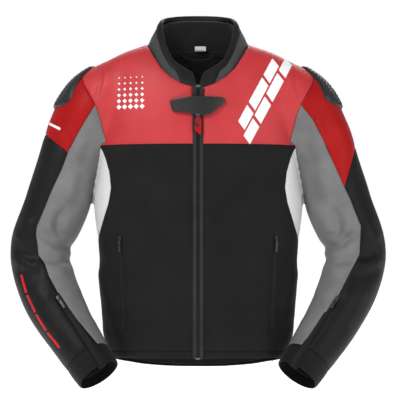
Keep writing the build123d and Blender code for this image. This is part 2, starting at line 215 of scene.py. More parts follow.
# ---- Mesh tools ----------------------------------------------------------
def new_object(name, points, faces):
    mesh = bpy.data.meshes.new(name)
    mesh.from_pydata((np.asarray(points) * MM).tolist(), [], [list(map(int, f)) for f in faces])
    mesh.update()
    obj = bpy.data.objects.new(name, mesh)
    bpy.context.scene.collection.objects.link(obj)
    mesh.polygons.foreach_set("use_smooth", np.ones(len(mesh.polygons), bool))
    return obj


def tube_faces(rings, count, closed=True):
    faces = []
    for i in range(rings - 1):
        for j in range(count):
            k = (j + 1) % count
            faces.append((i * count + j, i * count + k, (i + 1) * count + k, (i + 1) * count + j))
    if closed:
        faces.append(tuple(reversed(range(count))))
        faces.append(tuple((rings - 1) * count + j for j in range(count)))
    return faces


def triangles_of(obj):
    """Points in millimetres and triangles of an object with its modifiers applied."""
    mesh = obj.evaluated_get(bpy.context.evaluated_depsgraph_get()).to_mesh()
    mesh.calc_loop_triangles()
    points = np.zeros(len(mesh.vertices) * 3)
    mesh.vertices.foreach_get("co", points)
    corners = np.zeros(len(mesh.loop_triangles) * 3, int)
    mesh.loop_triangles.foreach_get("vertices", corners)
    return points.reshape(-1, 3) / MM, corners.reshape(-1, 3)


def edges_of(tris):
    pairs = np.sort(np.concatenate([tris[:, [0, 1]], tris[:, [1, 2]], tris[:, [2, 0]]]), 1)
    return np.unique(pairs, axis=0, return_counts=True)


def smoothed(points, tris, rounds, weight=None, back=0.0):
    """Moves each point towards its neighbours' middle; weight says how much, point by point."""
    pairs, _ = edges_of(tris)
    degree = np.bincount(pairs.ravel(), minlength=len(points))[:, None]
    weight = np.ones(len(points)) if weight is None else weight
    p = points.copy()
    for i in range(rounds):
        total = np.zeros_like(p)
        np.add.at(total, pairs[:, 0], p[pairs[:, 1]])
        np.add.at(total, pairs[:, 1], p[pairs[:, 0]])
        step = -back if back and i % 2 else 0.5
        p += (total / np.maximum(degree, 1) - p) * step * weight[:, None]
    return p


def normals_of(points, tris):
    face = np.cross(points[tris[:, 1]] - points[tris[:, 0]], points[tris[:, 2]] - points[tris[:, 0]])
    out = np.zeros_like(points)
    for k in range(3):
        np.add.at(out, tris[:, k], face)
    return unit(out)


def cut(points, tris, field, labels=None):
    """Splits the triangles along field = 0. Points very near the line are moved onto it."""
    labels = np.zeros(len(tris), int) if labels is None else labels
    value = field(points)
    near = np.abs(value) < VOXEL * 0.22
    if near.any():
        p = points[near]
        slope = np.stack([(field(p + step) - field(p - step)) for step in np.eye(3) * 0.2], 1) / 0.4
        steep = np.maximum(np.sum(slope ** 2, 1), 0.5)
        points = points.copy()
        shift = -slope * (value[near] / steep)[:, None]
        length = np.maximum(np.linalg.norm(shift, axis=1), 1e-9)
        points[near] = p + shift * np.minimum(1, 1.2 / length)[:, None]
        value[near] = 0
    inside = value >= 0
    lone = inside[tris].sum(1)
    plain = (lone == 0) | (lone == 3)
    whole, mixed = tris[plain], tris[~plain]
    if len(mixed) == 0:
        return points, tris, labels
    flags = inside[mixed]
    want = flags.sum(1) == 1
    odd = np.argmax(flags == want[:, None], 1)
    m = np.take_along_axis(mixed, (odd[:, None] + np.arange(3)) % 3, 1)
    pairs = np.sort(np.concatenate([m[:, [0, 1]], m[:, [0, 2]]]), 1)
    edges, back = np.unique(pairs, axis=0, return_inverse=True)
    back = back.ravel()
    va, vb = value[edges[:, 0]], value[edges[:, 1]]
    t = va / (va - vb)
    fresh = points[edges[:, 0]] * (1 - t[:, None]) + points[edges[:, 1]] * t[:, None]
    ids = len(points) + np.arange(len(edges))
    ids = np.where(va == 0, edges[:, 0], np.where(vb == 0, edges[:, 1], ids))
    points = np.concatenate([points, fresh])
    p, q = ids[back[:len(m)]], ids[back[len(m):]]
    a, b, c = m.T
    parts = np.concatenate([whole, np.stack([a, p, q], 1), np.stack([p, b, c], 1), np.stack([p, c, q], 1)])
    labels = np.concatenate([labels[plain]] + [labels[~plain]] * 3)
    good = (parts[:, 0] != parts[:, 1]) & (parts[:, 1] != parts[:, 2]) & (parts[:, 2] != parts[:, 0])
    return points, parts[good], labels[good]


def compact(points, tris):
    used, tris = np.unique(tris, return_inverse=True)
    return points[used], tris.reshape(-1, 3), used


# ---- Master surface ------------------------------------------------------
def master_form():
    """Body and arms as one smooth closed skin."""
    heights = np.arange(BODY_ROWS[0][0], BODY_ROWS[-1][0] + 1, 5.0)
    rings = [body_ring(z) for z in heights]
    objects = [new_object("form_body", np.concatenate(rings), tube_faces(len(rings), 144))]
    for _, sign in SIDES:
        rings = [arm_ring(s) for s in np.arange(0, ARM_END, 5.0)]
        points = np.concatenate(rings) * [sign, 1, 1]
        faces = tube_faces(len(rings), 112)
        if sign < 0:
            faces = [f[::-1] for f in faces]
        objects.append(new_object("form_arm", points, faces))
    bpy.ops.object.select_all(action="DESELECT")
    for o in objects:
        o.select_set(True)
    bpy.context.view_layer.objects.active = objects[0]
    bpy.ops.object.join()
    form = objects[0]
    remesh = form.modifiers.new("skin", "REMESH")
    remesh.mode = "VOXEL"
    remesh.voxel_size = VOXEL * MM
    points, tris = triangles_of(form)
    bpy.data.objects.remove(form)
    return points, tris


def mirrored_sides(p):
    """Arm places of every point, each on its own side."""
    q = p * [1, 1, 1]
    q[:, 0] = np.abs(q[:, 0])
    return arm_place(q)


skin_points, skin_tris = master_form()
skin_points = smoothed(skin_points, skin_tris, 10, back=0.52)
gap = body_out(skin_points) - mirrored_sides(skin_points)[2]
join_zone = np.exp(-(gap / 16) ** 2) * smoothstep(-235, -205, skin_points[:, 2])
skin_points = smoothed(skin_points, skin_tris, 60, weight=join_zone)


# ---- Folds ---------------------------------------------------------------
# Each fold: its line as seen from the front (x, z of the left side), width, depth (minus is a
# valley), and which sides have it.
FRONT_FOLDS = [
    ([(234, -256), (242, -310), (262, -356)], 14, -4.4, "both"),
    ([(250, -262), (260, -315), (278, -356)], 13, 3.0, "both"),
    ([(262, -326), (284, -362), (288, -392), (258, -424)], 11, -9.0, "both"),
    ([(300, -346), (308, -376), (290, -408), (260, -412)], 10, 5.0, "both"),
    ([(330, -388), (304, -404), (282, -422), (250, -434)], 9, -8.0, "both"),
    ([(330, -406), (300, -428), (256, -442)], 10, 6.0, "both"),
    ([(322, -444), (290, -450), (252, -452)], 9, -6.0, "both"),
    ([(316, -462), (288, -460), (266, -466)], 13, 3.2, "both"),
    ([(378, -412), (356, -388), (342, -360)], 14, 4.4, "both"),
    ([(376, -426), (352, -438), (322, -446)], 11, -6.0, "both"),
    ([(378, -446), (350, -456), (320, -460)], 12, 4.0, "both"),
    ([(374, -470), (346, -476), (314, -472)], 13, -3.6, "both"),
    ([(340, -505), (318, -520), (292, -520)], 16, 2.6, "both"),
    ([(214, -150), (222, -190), (228, -236)], 10, -3.0, "left"),
    ([(252, -150), (268, -196), (282, -250)], 14, -3.4, "left"),
    ([(236, -140), (250, -186), (262, -236)], 12, 2.8, "left"),
    ([(290, -150), (306, -200), (316, -250)], 15, 2.6, "left"),
    ([(262, -128), (278, -160), (292, -186)], 13, -2.6, "right"),
    ([(212, -206), (230, -234), (238, -266)], 12, -3.4, "both"),
    ([(222, -180), (244, -214), (256, -250)], 12, 2.4, "right"),
    ([(196, -48), (198, -88), (207, -124)], 4.6, -3.6, "both"),
    ([(186, -52), (190, -84), (192, -120)], 13, 2.2, "both"),
    ([(150, -40), (160, -80), (172, -130)], 16, -1.4, "both"),
    ([(206, -462), (192, -500), (184, -536)], 14, 3.6, "both"),
    ([(204, -430), (186, -470), (172, -512)], 13, -2.4, "both"),
    ([(200, -560), (182, -596), (168, -640)], 13, -2.4, "both"),
    ([(146, -430), (142, -520), (136, -620)], 12, 1.8, "both"),
    ([(176, -420), (170, -520), (160, -620)], 8, -1.4, "both"),
    ([(120, -230), (70, -252), (24, -262)], 26, 1.4, "both"),
    ([(196, -232), (150, -262), (96, -282)], 22, -1.8, "both"),
    ([(190, -330), (130, -345), (70, -336)], 26, 1.2, "both"),
    ([(60, -560), (100, -600), (150, -628)], 24, 2.0, "both"),
    ([(30, -480), (70, -520), (120, -548)], 26, -1.2, "both"),
    ([(250, -510), (236, -548), (212, -580)], 14, -2.8, "both"),
    ([(330, -530), (306, -566), (276, -600)], 15, 2.4, "right"),
    ([(352, -510), (330, -556), (300, -598)], 14, -2.0, "left"),
]
# The same for the back.
BACK_FOLDS = [
    ([(196, -150), (150, -190), (100, -215)], 20, -2.2, "both"),
    ([(200, -180), (160, -232), (110, -262)], 18, 2.0, "both"),
    ([(180, -430), (110, -452), (30, -458)], 18, -2.6, "both"),
    ([(184, -462), (120, -484), (30, -492)], 20, 2.4, "both"),
    ([(176, -500), (110, -520), (40, -526)], 16, -1.6, "both"),
    ([(372, -420), (340, -426), (300, -420)], 9, -2.0, "both"),
    ([(376, -444), (340, -452), (296, -444)], 9, 2.0, "both"),
    ([(372, -468), (336, -476), (292, -464)], 9, -2.0, "both"),
    ([(300, -190), (276, -230), (250, -262)], 16, -2.6, "both"),
    ([(330, -300), (300, -322), (262, -330)], 18, 1.8, "both"),
]


def fold_shift(p, normal):
    """How far the folds and the slow unevenness of leather push each point out."""
    shift = 0.9 * soft_noise(p, 150, 3) + 0.5 * soft_noise(p, 60, 4)
    for folds, facing in ((FRONT_FOLDS, -1), (BACK_FOLDS, 1)):
        turned = smoothstep(-0.6, 0.15, normal[:, 1] * facing)
        for line, width, depth, where in folds:
            for side, sign in SIDES:
                if where not in ("both", side):
                    continue
                path = np.array(line, float) * [sign, 1]
                d, share = path_distance(path, p[:, [0, 2]])
                fade = np.minimum(smoothstep(0, 0.25, share), smoothstep(0, 0.25, 1 - share))
                fade = 0.15 + 0.85 * fade
                shift += depth * np.exp(-(d / width) ** 2) * fade * turned
    return shift


# ---- Seam lines ----------------------------------------------------------
ARMHOLE = [(246, -30), (243, -68), (230, -95), (209, -131), (199, -159), (190, -206), (184, -224),
           (150, -250), (110, -700)]
LENS = [(201, -219), (191, -240), (182, -268), (178, -300), (183, -330), (194, -362), (206, -396)]
RED_GREY = {
    "left": [
        (196, -110), (209, -131), (234, -162), (265, -219), (277, -248), (300, -299), (330, -360)],
    "right": [
        (196, -112), (209, -132), (228, -161), (245, -189), (266, -228), (300, -290)],
}
RED_BLACK = {
    "left": [
        (290, -325), (300, -299), (322, -235), (345, -165)],
    "right": [
        (240, -249), (266, -228), (310, -195), (350, -165)],
}
GREY_BLACK = {
    "left": [
        (280, -255), (300, -299), (313, -325), (334, -378), (333, -395), (331, -438), (322, -450),
        (291, -503), (283, -517), (221, -593), (196, -620), (150, -676)],
    "right": [
        (240, -170), (266, -228), (279, -263), (299, -304), (330, -378), (332, -392), (327, -438),
        (314, -451), (303, -479), (284, -509), (242, -562), (205, -602), (180, -630), (140, -680)],
}
NECKLINE = [(140, 60), (109, 6), (107, -2), (91, -32), (75, -58), (56, -77), (33, -91), (0, -98)]


def on_side(p, sign):
    return p * [sign, 1, 1]


def armhole_field(sign):
    """Positive on the sleeve."""
    def field(p):
        q = on_side(p, sign)
        outboard = line_distance(ARMHOLE, q[:, 0], q[:, 2])
        nearer = body_out(q) - arm_place(q)[2]
        nearer = nearer + 60 * smoothstep(-216, -180, q[:, 2])
        nearer = np.where(q[:, 0] < 60, -50, nearer)
        return np.minimum(outboard, nearer)
    return field


def plane_field(normal, height):
    normal = np.array(normal, float)
    return lambda p: p @ normal - height


def hem_field(p):
    y, z = np.array(HEM, float).T
    return p[:, 2] - np.interp(p[:, 1], y, z)


def neck_field(p):
    """Positive on the kept shell, below the neckline."""
    x = np.abs(p[:, 0])
    front = line_distance(NECKLINE, x, p[:, 2])
    hole = (np.hypot(x / 90, p[:, 1] / 60) - 1) * 60
    back = np.maximum(np.minimum(hole, 3 - p[:, 2]), -p[:, 2] - 30)
    return np.where(p[:, 1] < 0, front, np.minimum(back, 3 - p[:, 2]))


def lens_field(sign):
    def field(p):
        q = on_side(p, sign)
        return line_distance(LENS, q[:, 0], q[:, 2])
    return field


def side_line(table, sign):
    def field(p):
        q = on_side(p, sign)
        return line_distance(table, q[:, 0], q[:, 2])
    return field


def rear_field(p):
    """Positive towards the front of the sleeve, where the grey leather is."""
    s, angle, _ = mirrored_sides(p)
    limit = np.interp(s, [ARM_KEYS[3], ARM_KEYS[6], ARM_KEYS[8], WRIST], [-38, -30, -24, -16])
    return (np.degrees(angle) - limit) * 1.05


def red_field(side, sign):
    upper, outer = side_line(RED_GREY[side], sign), side_line(RED_BLACK[side], sign)
    return lambda p: np.minimum(upper(p), outer(p))


def grey_field(side, sign):
    outer = side_line(GREY_BLACK[side], sign)
    return lambda p: np.minimum(-outer(p), rear_field(p))


def arm_length_field(length):
    return lambda p: mirrored_sides(p)[0] - length


def slot_field(start, along, out, across, length, half):
    """Positive outside a slot that a zip lies in; every side of the jacket has the mirror image."""
    start, along, out, across = [np.array(v, float) for v in (start, along, out, across)]

    def field(p):
        q = p * [1, 1, 1]
        q[:, 0] = np.abs(q[:, 0])
        r = q - start
        u, v, w = r @ along, r @ across, r @ out
        ends = np.abs(u - length / 2) - length / 2
        return np.maximum(np.maximum(np.abs(v) - half, ends), np.abs(w) - 25)
    return field


# ---- Panels --------------------------------------------------------------
POCKET_TRACK = ((158, -82.78, -397), (-0.0569, -0.0168, -0.9982), (0.5210, -0.8534, -0.0153),
                (0.8516, 0.5210, -0.0573), 193.3)
CUFF_TRACK = ((284, -91.31, -518), (-0.5546, -0.3225, -0.7671), (-0.0387, -0.9109, 0.4109),
              (0.8312, -0.2576, -0.4927), 169.5)
MID_ARM = ARM_KEYS[5]
LENS_REAR = 46.0
HEM_BAND = 15.0


def zip_slot_field(p):
    """Positive outside the slot for the front zip; the back has none."""
    return np.where(p[:, 1] < 0, np.abs(p[:, 0]) - ZIP_SLOT, 50.0)


pocket_slot = slot_field(*POCKET_TRACK, 4.0)
cuff_slot = slot_field(*CUFF_TRACK, 4.0)
LABELS = ["gone", "front_panel_left", "front_panel_right", "chest_yoke_left", "chest_yoke_right", "back_yoke",
          "back_panel", "side_panel_left", "side_panel_right", "hem_band"]
ARM_PARTS = ["sleeve_head", "upper_front", "upper_outer", "lower_front", "lower_outer", "cuff"]
LABELS += [f"{part}_{side}" for side, _ in SIDES for part in ARM_PARTS]
CODE = {name: i for i, name in enumerate(LABELS)}


def label_triangles(points, tris):
    c = points[tris].mean(1)
    left = c[:, 0] > 0
    code = np.where(left, CODE["front_panel_left"], CODE["front_panel_right"])
    code[c[:, 1] > 0] = CODE["back_panel"]
    for side, sign in SIDES:
        mine = left == (sign > 0)
        white = (lens_field(sign)(c) > 0) & (c[:, 1] < LENS_REAR) & mine
        code[white] = CODE["side_panel_" + side]
        code[(c[:, 2] > YOKE_Z) & (c[:, 1] <= 0) & mine] = CODE["chest_yoke_" + side]
    code[(c[:, 2] > YOKE_Z) & (c[:, 1] > 0)] = CODE["back_yoke"]
    code[hem_field(c) < HEM_BAND] = CODE["hem_band"]
    code[pocket_slot(c) < 0] = 0
    s = mirrored_sides(c)[0]
    for side, sign in SIDES:
        arm = (armhole_field(sign)(c) > 0) & (left == (sign > 0))
        grey = grey_field(side, sign)(c) > 0
        part = np.where(s < MID_ARM, np.where(grey, 1, 2), np.where(grey, 3, 4))
        part[red_field(side, sign)(c) > 0] = 0
        part[s > WRIST - CUFF_LENGTH] = 5
        code[arm] = CODE["sleeve_head_" + side] + part[arm]
        code[arm & (cuff_slot(c) < 0)] = 0
        code[arm & (s > WRIST)] = 0
    torso = code < CODE["sleeve_head_left"]
    code[torso & (neck_field(c) < 0)] = 0
    code[torso & (hem_field(c) < 0)] = 0
    code[torso & (c[:, 1] < 0) & (np.abs(c[:, 0]) < ZIP_SLOT)] = 0
    return code


skin_normals = normals_of(skin_points, skin_tris)
skin_points += skin_normals * fold_shift(skin_points, skin_normals)[:, None]
skin_points = smoothed(skin_points, skin_tris, 2)
form_points, form_tris = skin_points.copy(), skin_tris.copy()
lines = [neck_field, hem_field, lambda p: hem_field(p) - HEM_BAND, plane_field((0, 0, 1), YOKE_Z),
         plane_field((0, 1, 0), 0), plane_field((0, 1, 0), LENS_REAR), zip_slot_field, pocket_slot,
         cuff_slot, arm_length_field(WRIST), arm_length_field(WRIST - CUFF_LENGTH),
         arm_length_field(MID_ARM)]
for side, sign in SIDES:
    lines += [lens_field(sign), armhole_field(sign), red_field(side, sign), grey_field(side, sign)]
for line in lines:
    skin_points, skin_tris, _ = cut(skin_points, skin_tris, line)
labels = label_triangles(skin_points, skin_tris)
skin_tris, labels = skin_tris[labels > 0], labels[labels > 0]


def seam_points(tris, labels, hidden=True):
    """Points where two panels meet or a panel ends. The hidden join in the upper arm can be left out."""
    group = labels.copy()
    if hidden:
        for side, _ in SIDES:
            first = CODE["sleeve_head_" + side]
            group[labels == first + 3] = first + 1
            group[labels == first + 4] = first + 2
    pairs = np.sort(np.concatenate([tris[:, [0, 1]], tris[:, [1, 2]], tris[:, [2, 0]]]), 1)
    edges, back = np.unique(pairs, axis=0, return_inverse=True)
    owner = np.tile(group, 3)
    low, high, count = np.full(len(edges), 999), np.full(len(edges), -1), np.bincount(back.ravel())
    np.minimum.at(low, back.ravel(), owner)
    np.maximum.at(high, back.ravel(), owner)
    return np.unique(edges[(low != high) | (count == 1)])


def nearest_distance(points, targets):
    tree = KDTree(len(targets))
    for i, q in enumerate(targets):
        tree.insert(q, i)
    tree.balance()
    return np.array([tree.find(q)[2] for q in points])


SEAM_ROW = 1.7
seam = seam_points(skin_tris, labels)
seam_spots = skin_points[seam]


def seam_row(p):
    return nearest_distance(p, seam_spots) - SEAM_ROW


skin_points, skin_tris, labels = cut(skin_points, skin_tris, seam_row, labels)
skin_points, skin_tris, _ = compact(skin_points, skin_tris)


# ---- Materials -----------------------------------------------------------
def linear(*rgb):
    """Screen colour 0-255 to the renderer's linear colour."""
    return tuple(((v / 255 + 0.055) / 1.055) ** 2.4 if v > 10 else v / 255 / 12.92 for v in rgb) + (1.0,)


class Finish:
    """A procedural material, built node by node. Patterns are in metres of the jacket's own space."""
    def __init__(self, name, rough=0.5, metal=0.0, specular=0.5, sheen=0.0, coat=0.0):
        self.name = name
        self.mat = bpy.data.materials.new(name)
        self.mat.use_nodes = True
        self.tree = self.mat.node_tree
        self.shader = self.tree.nodes["Principled BSDF"]
        self.set("Roughness", rough)
        self.set("Metallic", metal)
        self.set("Specular IOR Level", specular)
        self.set("Sheen Weight", sheen)
        self.set("Coat Weight", coat)
        self.where = self.node("ShaderNodeTexCoord").outputs["Object"]
        self.height = None

    def set(self, socket, value):
        self.shader.inputs[socket].default_value = value

    def node(self, kind, **settings):
        made = self.tree.nodes.new(kind)
        for key, value in settings.items():
            setattr(made, key, value)
        return made

    def link(self, a, b):
        self.tree.links.new(a, b)

    def math(self, kind, a, b=None, c=None, clamp=False):
        made = self.node("ShaderNodeMath", operation=kind, use_clamp=clamp)
        for i, value in enumerate((a, b, c)):
            if value is None:
                continue
            if isinstance(value, (int, float)):
                made.inputs[i].default_value = value
            else:
                self.link(value, made.inputs[i])
        return made.outputs[0]

    def noise(self, scale, detail=3.0, rough=0.5):
        made = self.node("ShaderNodeTexNoise")
        made.inputs["Scale"].default_value = scale
        made.inputs["Detail"].default_value = detail
        made.inputs["Roughness"].default_value = rough
        self.link(self.where, made.inputs["Vector"])
        return made.outputs["Fac"]

    def cells(self, scale, feature="F1"):
        made = self.node("ShaderNodeTexVoronoi", feature=feature)
        made.inputs["Scale"].default_value = scale
        self.link(self.where, made.inputs["Vector"])
        return made.outputs["Distance"]

    def stripes(self, direction, pitch):
        """0 to 1 and back along a direction."""
        scaled = self.node("ShaderNodeVectorMath", operation="DOT_PRODUCT")
        self.link(self.where, scaled.inputs[0])
        scaled.inputs[1].default_value = tuple(v * 2 * pi / pitch for v in direction)
        wave = self.math("SINE", scaled.outputs["Value"])
        return self.math("MULTIPLY_ADD", wave, 0.5, 0.5)

    def colour(self, *stops, by):
        """Colours along a ramp driven by a 0 to 1 value. Each stop: (place, r, g, b)."""
        ramp = self.node("ShaderNodeValToRGB")
        while len(ramp.color_ramp.elements) < len(stops):
            ramp.color_ramp.elements.new(0.5)
        for element, stop in zip(ramp.color_ramp.elements, stops):
            element.position = stop[0]
            element.color = linear(*stop[1:])
        self.link(by, ramp.inputs[0])
        return ramp.outputs[0]

    def mix(self, by, a, b):
        made = self.node("ShaderNodeMix", data_type="RGBA")
        self.link(by, made.inputs["Factor"])
        for socket, value in ((made.inputs[6], a), (made.inputs[7], b)):
            if isinstance(value, tuple):
                socket.default_value = value
            else:
                self.link(value, socket)
        return made.outputs[2]

    def paint(self, colour):
        self.link(colour, self.shader.inputs["Base Color"])

    def roughness(self, low, high, by):
        made = self.node("ShaderNodeMapRange")
        made.inputs["To Min"].default_value = low
        made.inputs["To Max"].default_value = high
        self.link(by, made.inputs["Value"])
        self.link(made.outputs[0], self.shader.inputs["Roughness"])

    def bump(self, height, millimetres, strength=1.0):
        made = self.node("ShaderNodeBump")
        made.inputs["Distance"].default_value = millimetres * MM
        made.inputs["Strength"].default_value = strength
        self.link(height, made.inputs["Height"])
        if self.height is not None:
            self.link(self.height, made.inputs["Normal"])
        self.height = made.outputs[0]
        self.link(self.height, self.shader.inputs["Normal"])


def leather(name, dark, light, rough=(0.38, 0.55), grain=1.0, specular=0.5):
    """Smooth grained cowhide with worn, lighter high spots."""
    f = Finish(name, specular=specular)
    wide = f.noise(16, 5, 0.6)
    f.paint(f.colour((0.25, *dark), (0.75, *light), by=wide))
    pebbles = f.cells(720, "SMOOTH_F1")
    creases = f.noise(150, 6, 0.65)
    f.roughness(rough[0], rough[1], creases)
    f.bump(pebbles, 0.22 * grain, 0.7)
    f.bump(creases, 0.5 * grain, 0.5)
    return f


def perforated(name, dark, light, hole):
    """Leather punched with a staggered lattice of small round holes; each hole is only a dip in the bump,
    painted dark red as the shade inside it.
    """
    f = leather(name, dark, light, rough=(0.45, 0.6), grain=0.7)
    parts = f.node("ShaderNodeSeparateXYZ")
    f.link(f.where, parts.inputs[0])
    pitch = 4.2 * MM

    def lattice(shift):
        u = f.math("MULTIPLY_ADD", parts.outputs["X"], 1 / pitch, shift)
        v = f.math("MULTIPLY_ADD", parts.outputs["Z"], 1 / pitch, shift)
        du = f.math("SUBTRACT", f.math("FRACT", u), 0.5)
        dv = f.math("SUBTRACT", f.math("FRACT", v), 0.5)
        return f.math("SQRT", f.math("ADD", f.math("MULTIPLY", du, du), f.math("MULTIPLY", dv, dv)))
    near = f.math("MINIMUM", lattice(0.0), lattice(0.5))
    dot = f.math("MULTIPLY_ADD", near, -14.0, 3.4, clamp=True)
    wide = f.noise(16, 5, 0.6)
    base = f.colour((0.25, *dark), (0.75, *light), by=wide)
    # painted shade: each hole is coloured a darker red for the shade that fills it
    f.paint(f.mix(dot, base, linear(*hole)))
    f.bump(f.math("SUBTRACT", 1.0, dot), 0.3, 0.6)
    return f


def woven(name, dark, light, pitch, rough=0.75, sheen=0.2, depth=0.25):
    """Close plain weave, with slow colour variation."""
    f = Finish(name, rough=rough, specular=0.15, sheen=sheen)
    a = f.stripes((0.7, 0.35, 0.62), pitch * MM)
    b = f.stripes((-0.62, 0.35, 0.7), pitch * MM)
    thread = f.math("MULTIPLY", a, b)
    slow = f.noise(22, 4, 0.55)
    tone = f.math("MULTIPLY_ADD", thread, 0.35, f.math("MULTIPLY", slow, 0.65))
    f.paint(f.colour((0.2, *dark), (0.8, *light), by=tone))
    f.bump(thread, depth, 0.8)
    f.bump(f.noise(60, 4, 0.6), 0.4, 0.4)
    return f


def striped(name, ground, line, direction, pitch, share, rough=0.6, depth=0.3):
    """Fabric with fine printed or knitted lines."""
    f = Finish(name, rough=rough, specular=0.3, sheen=0.1)
    wave = f.stripes(direction, pitch * MM)
    f.paint(f.colour((share - 0.08, *ground), (share + 0.08, *line), by=wave))
    f.bump(wave, depth, 0.6)
    f.bump(f.noise(400, 3, 0.6), 0.15, 0.5)
    return f


def moulded(name, dark, light, rough=0.45, specular=0.5):
    f = Finish(name, rough=rough, specular=specular)
    f.paint(f.colour((0.2, *dark), (0.8, *light), by=f.noise(40, 4, 0.6)))
    f.bump(f.noise(500, 3, 0.6), 0.12, 0.6)
    f.roughness(rough - 0.08, rough + 0.12, f.noise(90, 3, 0.5))
    return f


def metal(name, dark, light, rough=0.32):
    f = Finish(name, rough=rough, metal=1.0)
    f.paint(f.colour((0.3, *dark), (0.7, *light), by=f.noise(120, 4, 0.6)))
    f.roughness(rough - 0.1, rough + 0.15, f.noise(300, 3, 0.6))
    f.bump(f.noise(900, 2, 0.5), 0.05, 0.5)
    return f


FINISHES = {finish.name: finish for finish in (
    # the last colour is the painted shade inside the punched holes
    perforated("red_perforated_leather", (184, 26, 33), (204, 40, 46), (92, 12, 18)),
    leather("red_leather", (140, 2, 4), (160, 4, 6), rough=(0.42, 0.58), specular=0.16),
    leather("grey_leather", (94, 94, 95), (114, 114, 115), rough=(0.5, 0.64), specular=0.25),
    leather("black_leather", (9, 9, 10), (19, 19, 20), rough=(0.42, 0.58), specular=0.16),
    leather("collar_leather", (12, 12, 13), (24, 24, 25), rough=(0.45, 0.6), grain=0.6, specular=0.18),
    woven("black_softshell", (12, 12, 13), (25, 25, 26), 1.3, rough=0.76, sheen=0.03, depth=0.15),
    striped("stretch_fabric", (22, 22, 23), (40, 40, 42), (0.2, 0, 0.98), 3.2, 0.5),
    striped("white_mesh", (184, 184, 183), (204, 204, 203), (0.8, 0.1, 0.6), 4.6, 0.3),
    woven("lining_mesh", (14, 14, 15), (30, 30, 31), 2.2, rough=0.85, depth=0.4),
    woven("black_neoprene", (11, 11, 12), (20, 20, 21), 1.6, rough=0.7, sheen=0.04, depth=0.2),
    woven("zip_tape", (30, 30, 31), (52, 52, 54), 1.1, rough=0.62, sheen=0.05, depth=0.15),
    moulded("zip_chain", (8, 8, 9), (16, 16, 17), rough=0.4, specular=0.35),
    metal("zip_metal", (70, 70, 72), (130, 130, 132)),
    moulded("armour_tpu", (14, 14, 15), (26, 26, 27), rough=0.36, specular=0.4),
    moulded("protector_foam", (40, 40, 44), (60, 60, 64), rough=0.85, specular=0.2),
    striped("collar_rib", (38, 38, 39), (62, 62, 63), (0.35, 0.1, 0.93), 2.6, 0.4, rough=0.7, depth=0.5),
    woven("black_tape", (10, 10, 11), (20, 20, 21), 1.0, rough=0.7, depth=0.1),
    metal("dark_metal", (40, 40, 42), (84, 84, 86), rough=0.38),
    moulded("white_print", (218, 218, 218), (236, 236, 236), rough=0.6, specular=0.2),
    moulded("red_print", (176, 14, 18), (206, 24, 26), rough=0.6, specular=0.2),
    woven("label_white", (196, 196, 194), (232, 232, 230), 0.8, rough=0.7, depth=0.1),
)}


def finish_with(obj, slot, body=None, nodes=()):
    """Gives a piece its material and slot, hangs it on a body, and hides the CAD nodes it stands for."""
    obj.data.materials.clear()
    obj.data.materials.append(FINISHES[slot].mat)
    if body:
        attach(obj, body)
    if nodes:
        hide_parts(*nodes)
    return obj


# ---- The outer panels ----------------------------------------------------
def seam_shape(points, tris, labels):
    """Sinks the seams and lets each panel swell a little between them."""
    spots = points[seam_points(tris, labels)]
    far = nearest_distance(points, spots)
    shift = -1.3 * np.exp(-(far / 1.5) ** 2) - 0.5 * np.exp(-(far / 5) ** 2) + 0.5 * smoothstep(4, 18, far)
    return points + normals_of(points, tris) * shift[:, None], far


def shell(points, tris, normals, thick, edge_trim, keep_sharp=None):
    """A closed sheet: the outer skin, the same skin moved inwards, and a wall round the edge."""
    used, local = np.unique(tris, return_inverse=True)
    local = local.reshape(-1, 3)
    outer, out = points[used], normals[used]
    directed = np.concatenate([local[:, [0, 1]], local[:, [1, 2]], local[:, [2, 0]]])
    key = np.sort(directed, 1)
    _, back, count = np.unique(key, axis=0, return_inverse=True, return_counts=True)
    border = directed[count[back.ravel()] == 1]
    run = outer[border[:, 1]] - outer[border[:, 0]]
    inward = np.zeros_like(outer)
    for k in range(2):
        np.add.at(inward, border[:, k], unit(np.cross(out[border[:, k]], run)))
    if keep_sharp is not None:
        inward[keep_sharp[used]] = 0
    outer = outer + unit(inward) * (np.linalg.norm(inward, axis=1, keepdims=True) > 0.1) * edge_trim
    n = len(outer)
    inner = outer - out * thick
    wall = np.concatenate([np.stack([border[:, 1], border[:, 0], border[:, 0] + n], 1),
                           np.stack([border[:, 1], border[:, 0] + n, border[:, 1] + n], 1)])
    faces = np.concatenate([local, local[:, ::-1] + n, wall])
    return np.concatenate([outer, inner]), faces, border


def sharpen(obj, border):
    """Keeps the smooth shading from turning round a cut edge."""
    wanted = {(min(a, b), max(a, b)) for a, b in border.tolist()}
    for edge in obj.data.edges:
        a, b = edge.vertices
        if (min(a, b), max(a, b)) in wanted:
            edge.use_edge_sharp = True


skin_points, seam_far = seam_shape(skin_points, skin_tris, labels)
skin_normals = normals_of(skin_points, skin_tris)
hidden_join = np.zeros(len(skin_points), bool)
hidden_join[seam_points(skin_tris, labels, hidden=False)] = True
hidden_join[seam_points(skin_tris, labels)] = False


def arm_names(side):
    return {"sleeve_head": ("red_leather", [f"sleeve_head_{side}"]),
            "upper_front": ("grey_leather", [f"upper_sleeve_front_{side}"]),
            "upper_outer": ("black_leather", [f"upper_sleeve_outer_{side}"]),
            "lower_front": ("grey_leather", [f"forearm_front_{side}"]),
            "lower_outer": ("black_leather", [f"forearm_outer_{side}", f"elbow_stretch_{side}"]),
            "cuff": ("black_neoprene", [f"cuff_{side}"])}


TORSO_PANELS = {"chest_yoke_left": "red_perforated_leather", "chest_yoke_right": "red_perforated_leather",
                "back_yoke": "red_perforated_leather", "front_panel_left": "black_softshell",
                "front_panel_right": "black_softshell", "back_panel": "black_softshell",
                "side_panel_left": "white_mesh", "side_panel_right": "white_mesh",
                "hem_band": "black_softshell"}


def panel(label, name):
    chosen = skin_tris[labels == CODE[label]]
    points, faces, border = shell(skin_points, chosen, skin_normals, LEATHER, 0.3, hidden_join)
    obj = new_object(name, points, faces)
    sharpen(obj, border)
    return obj


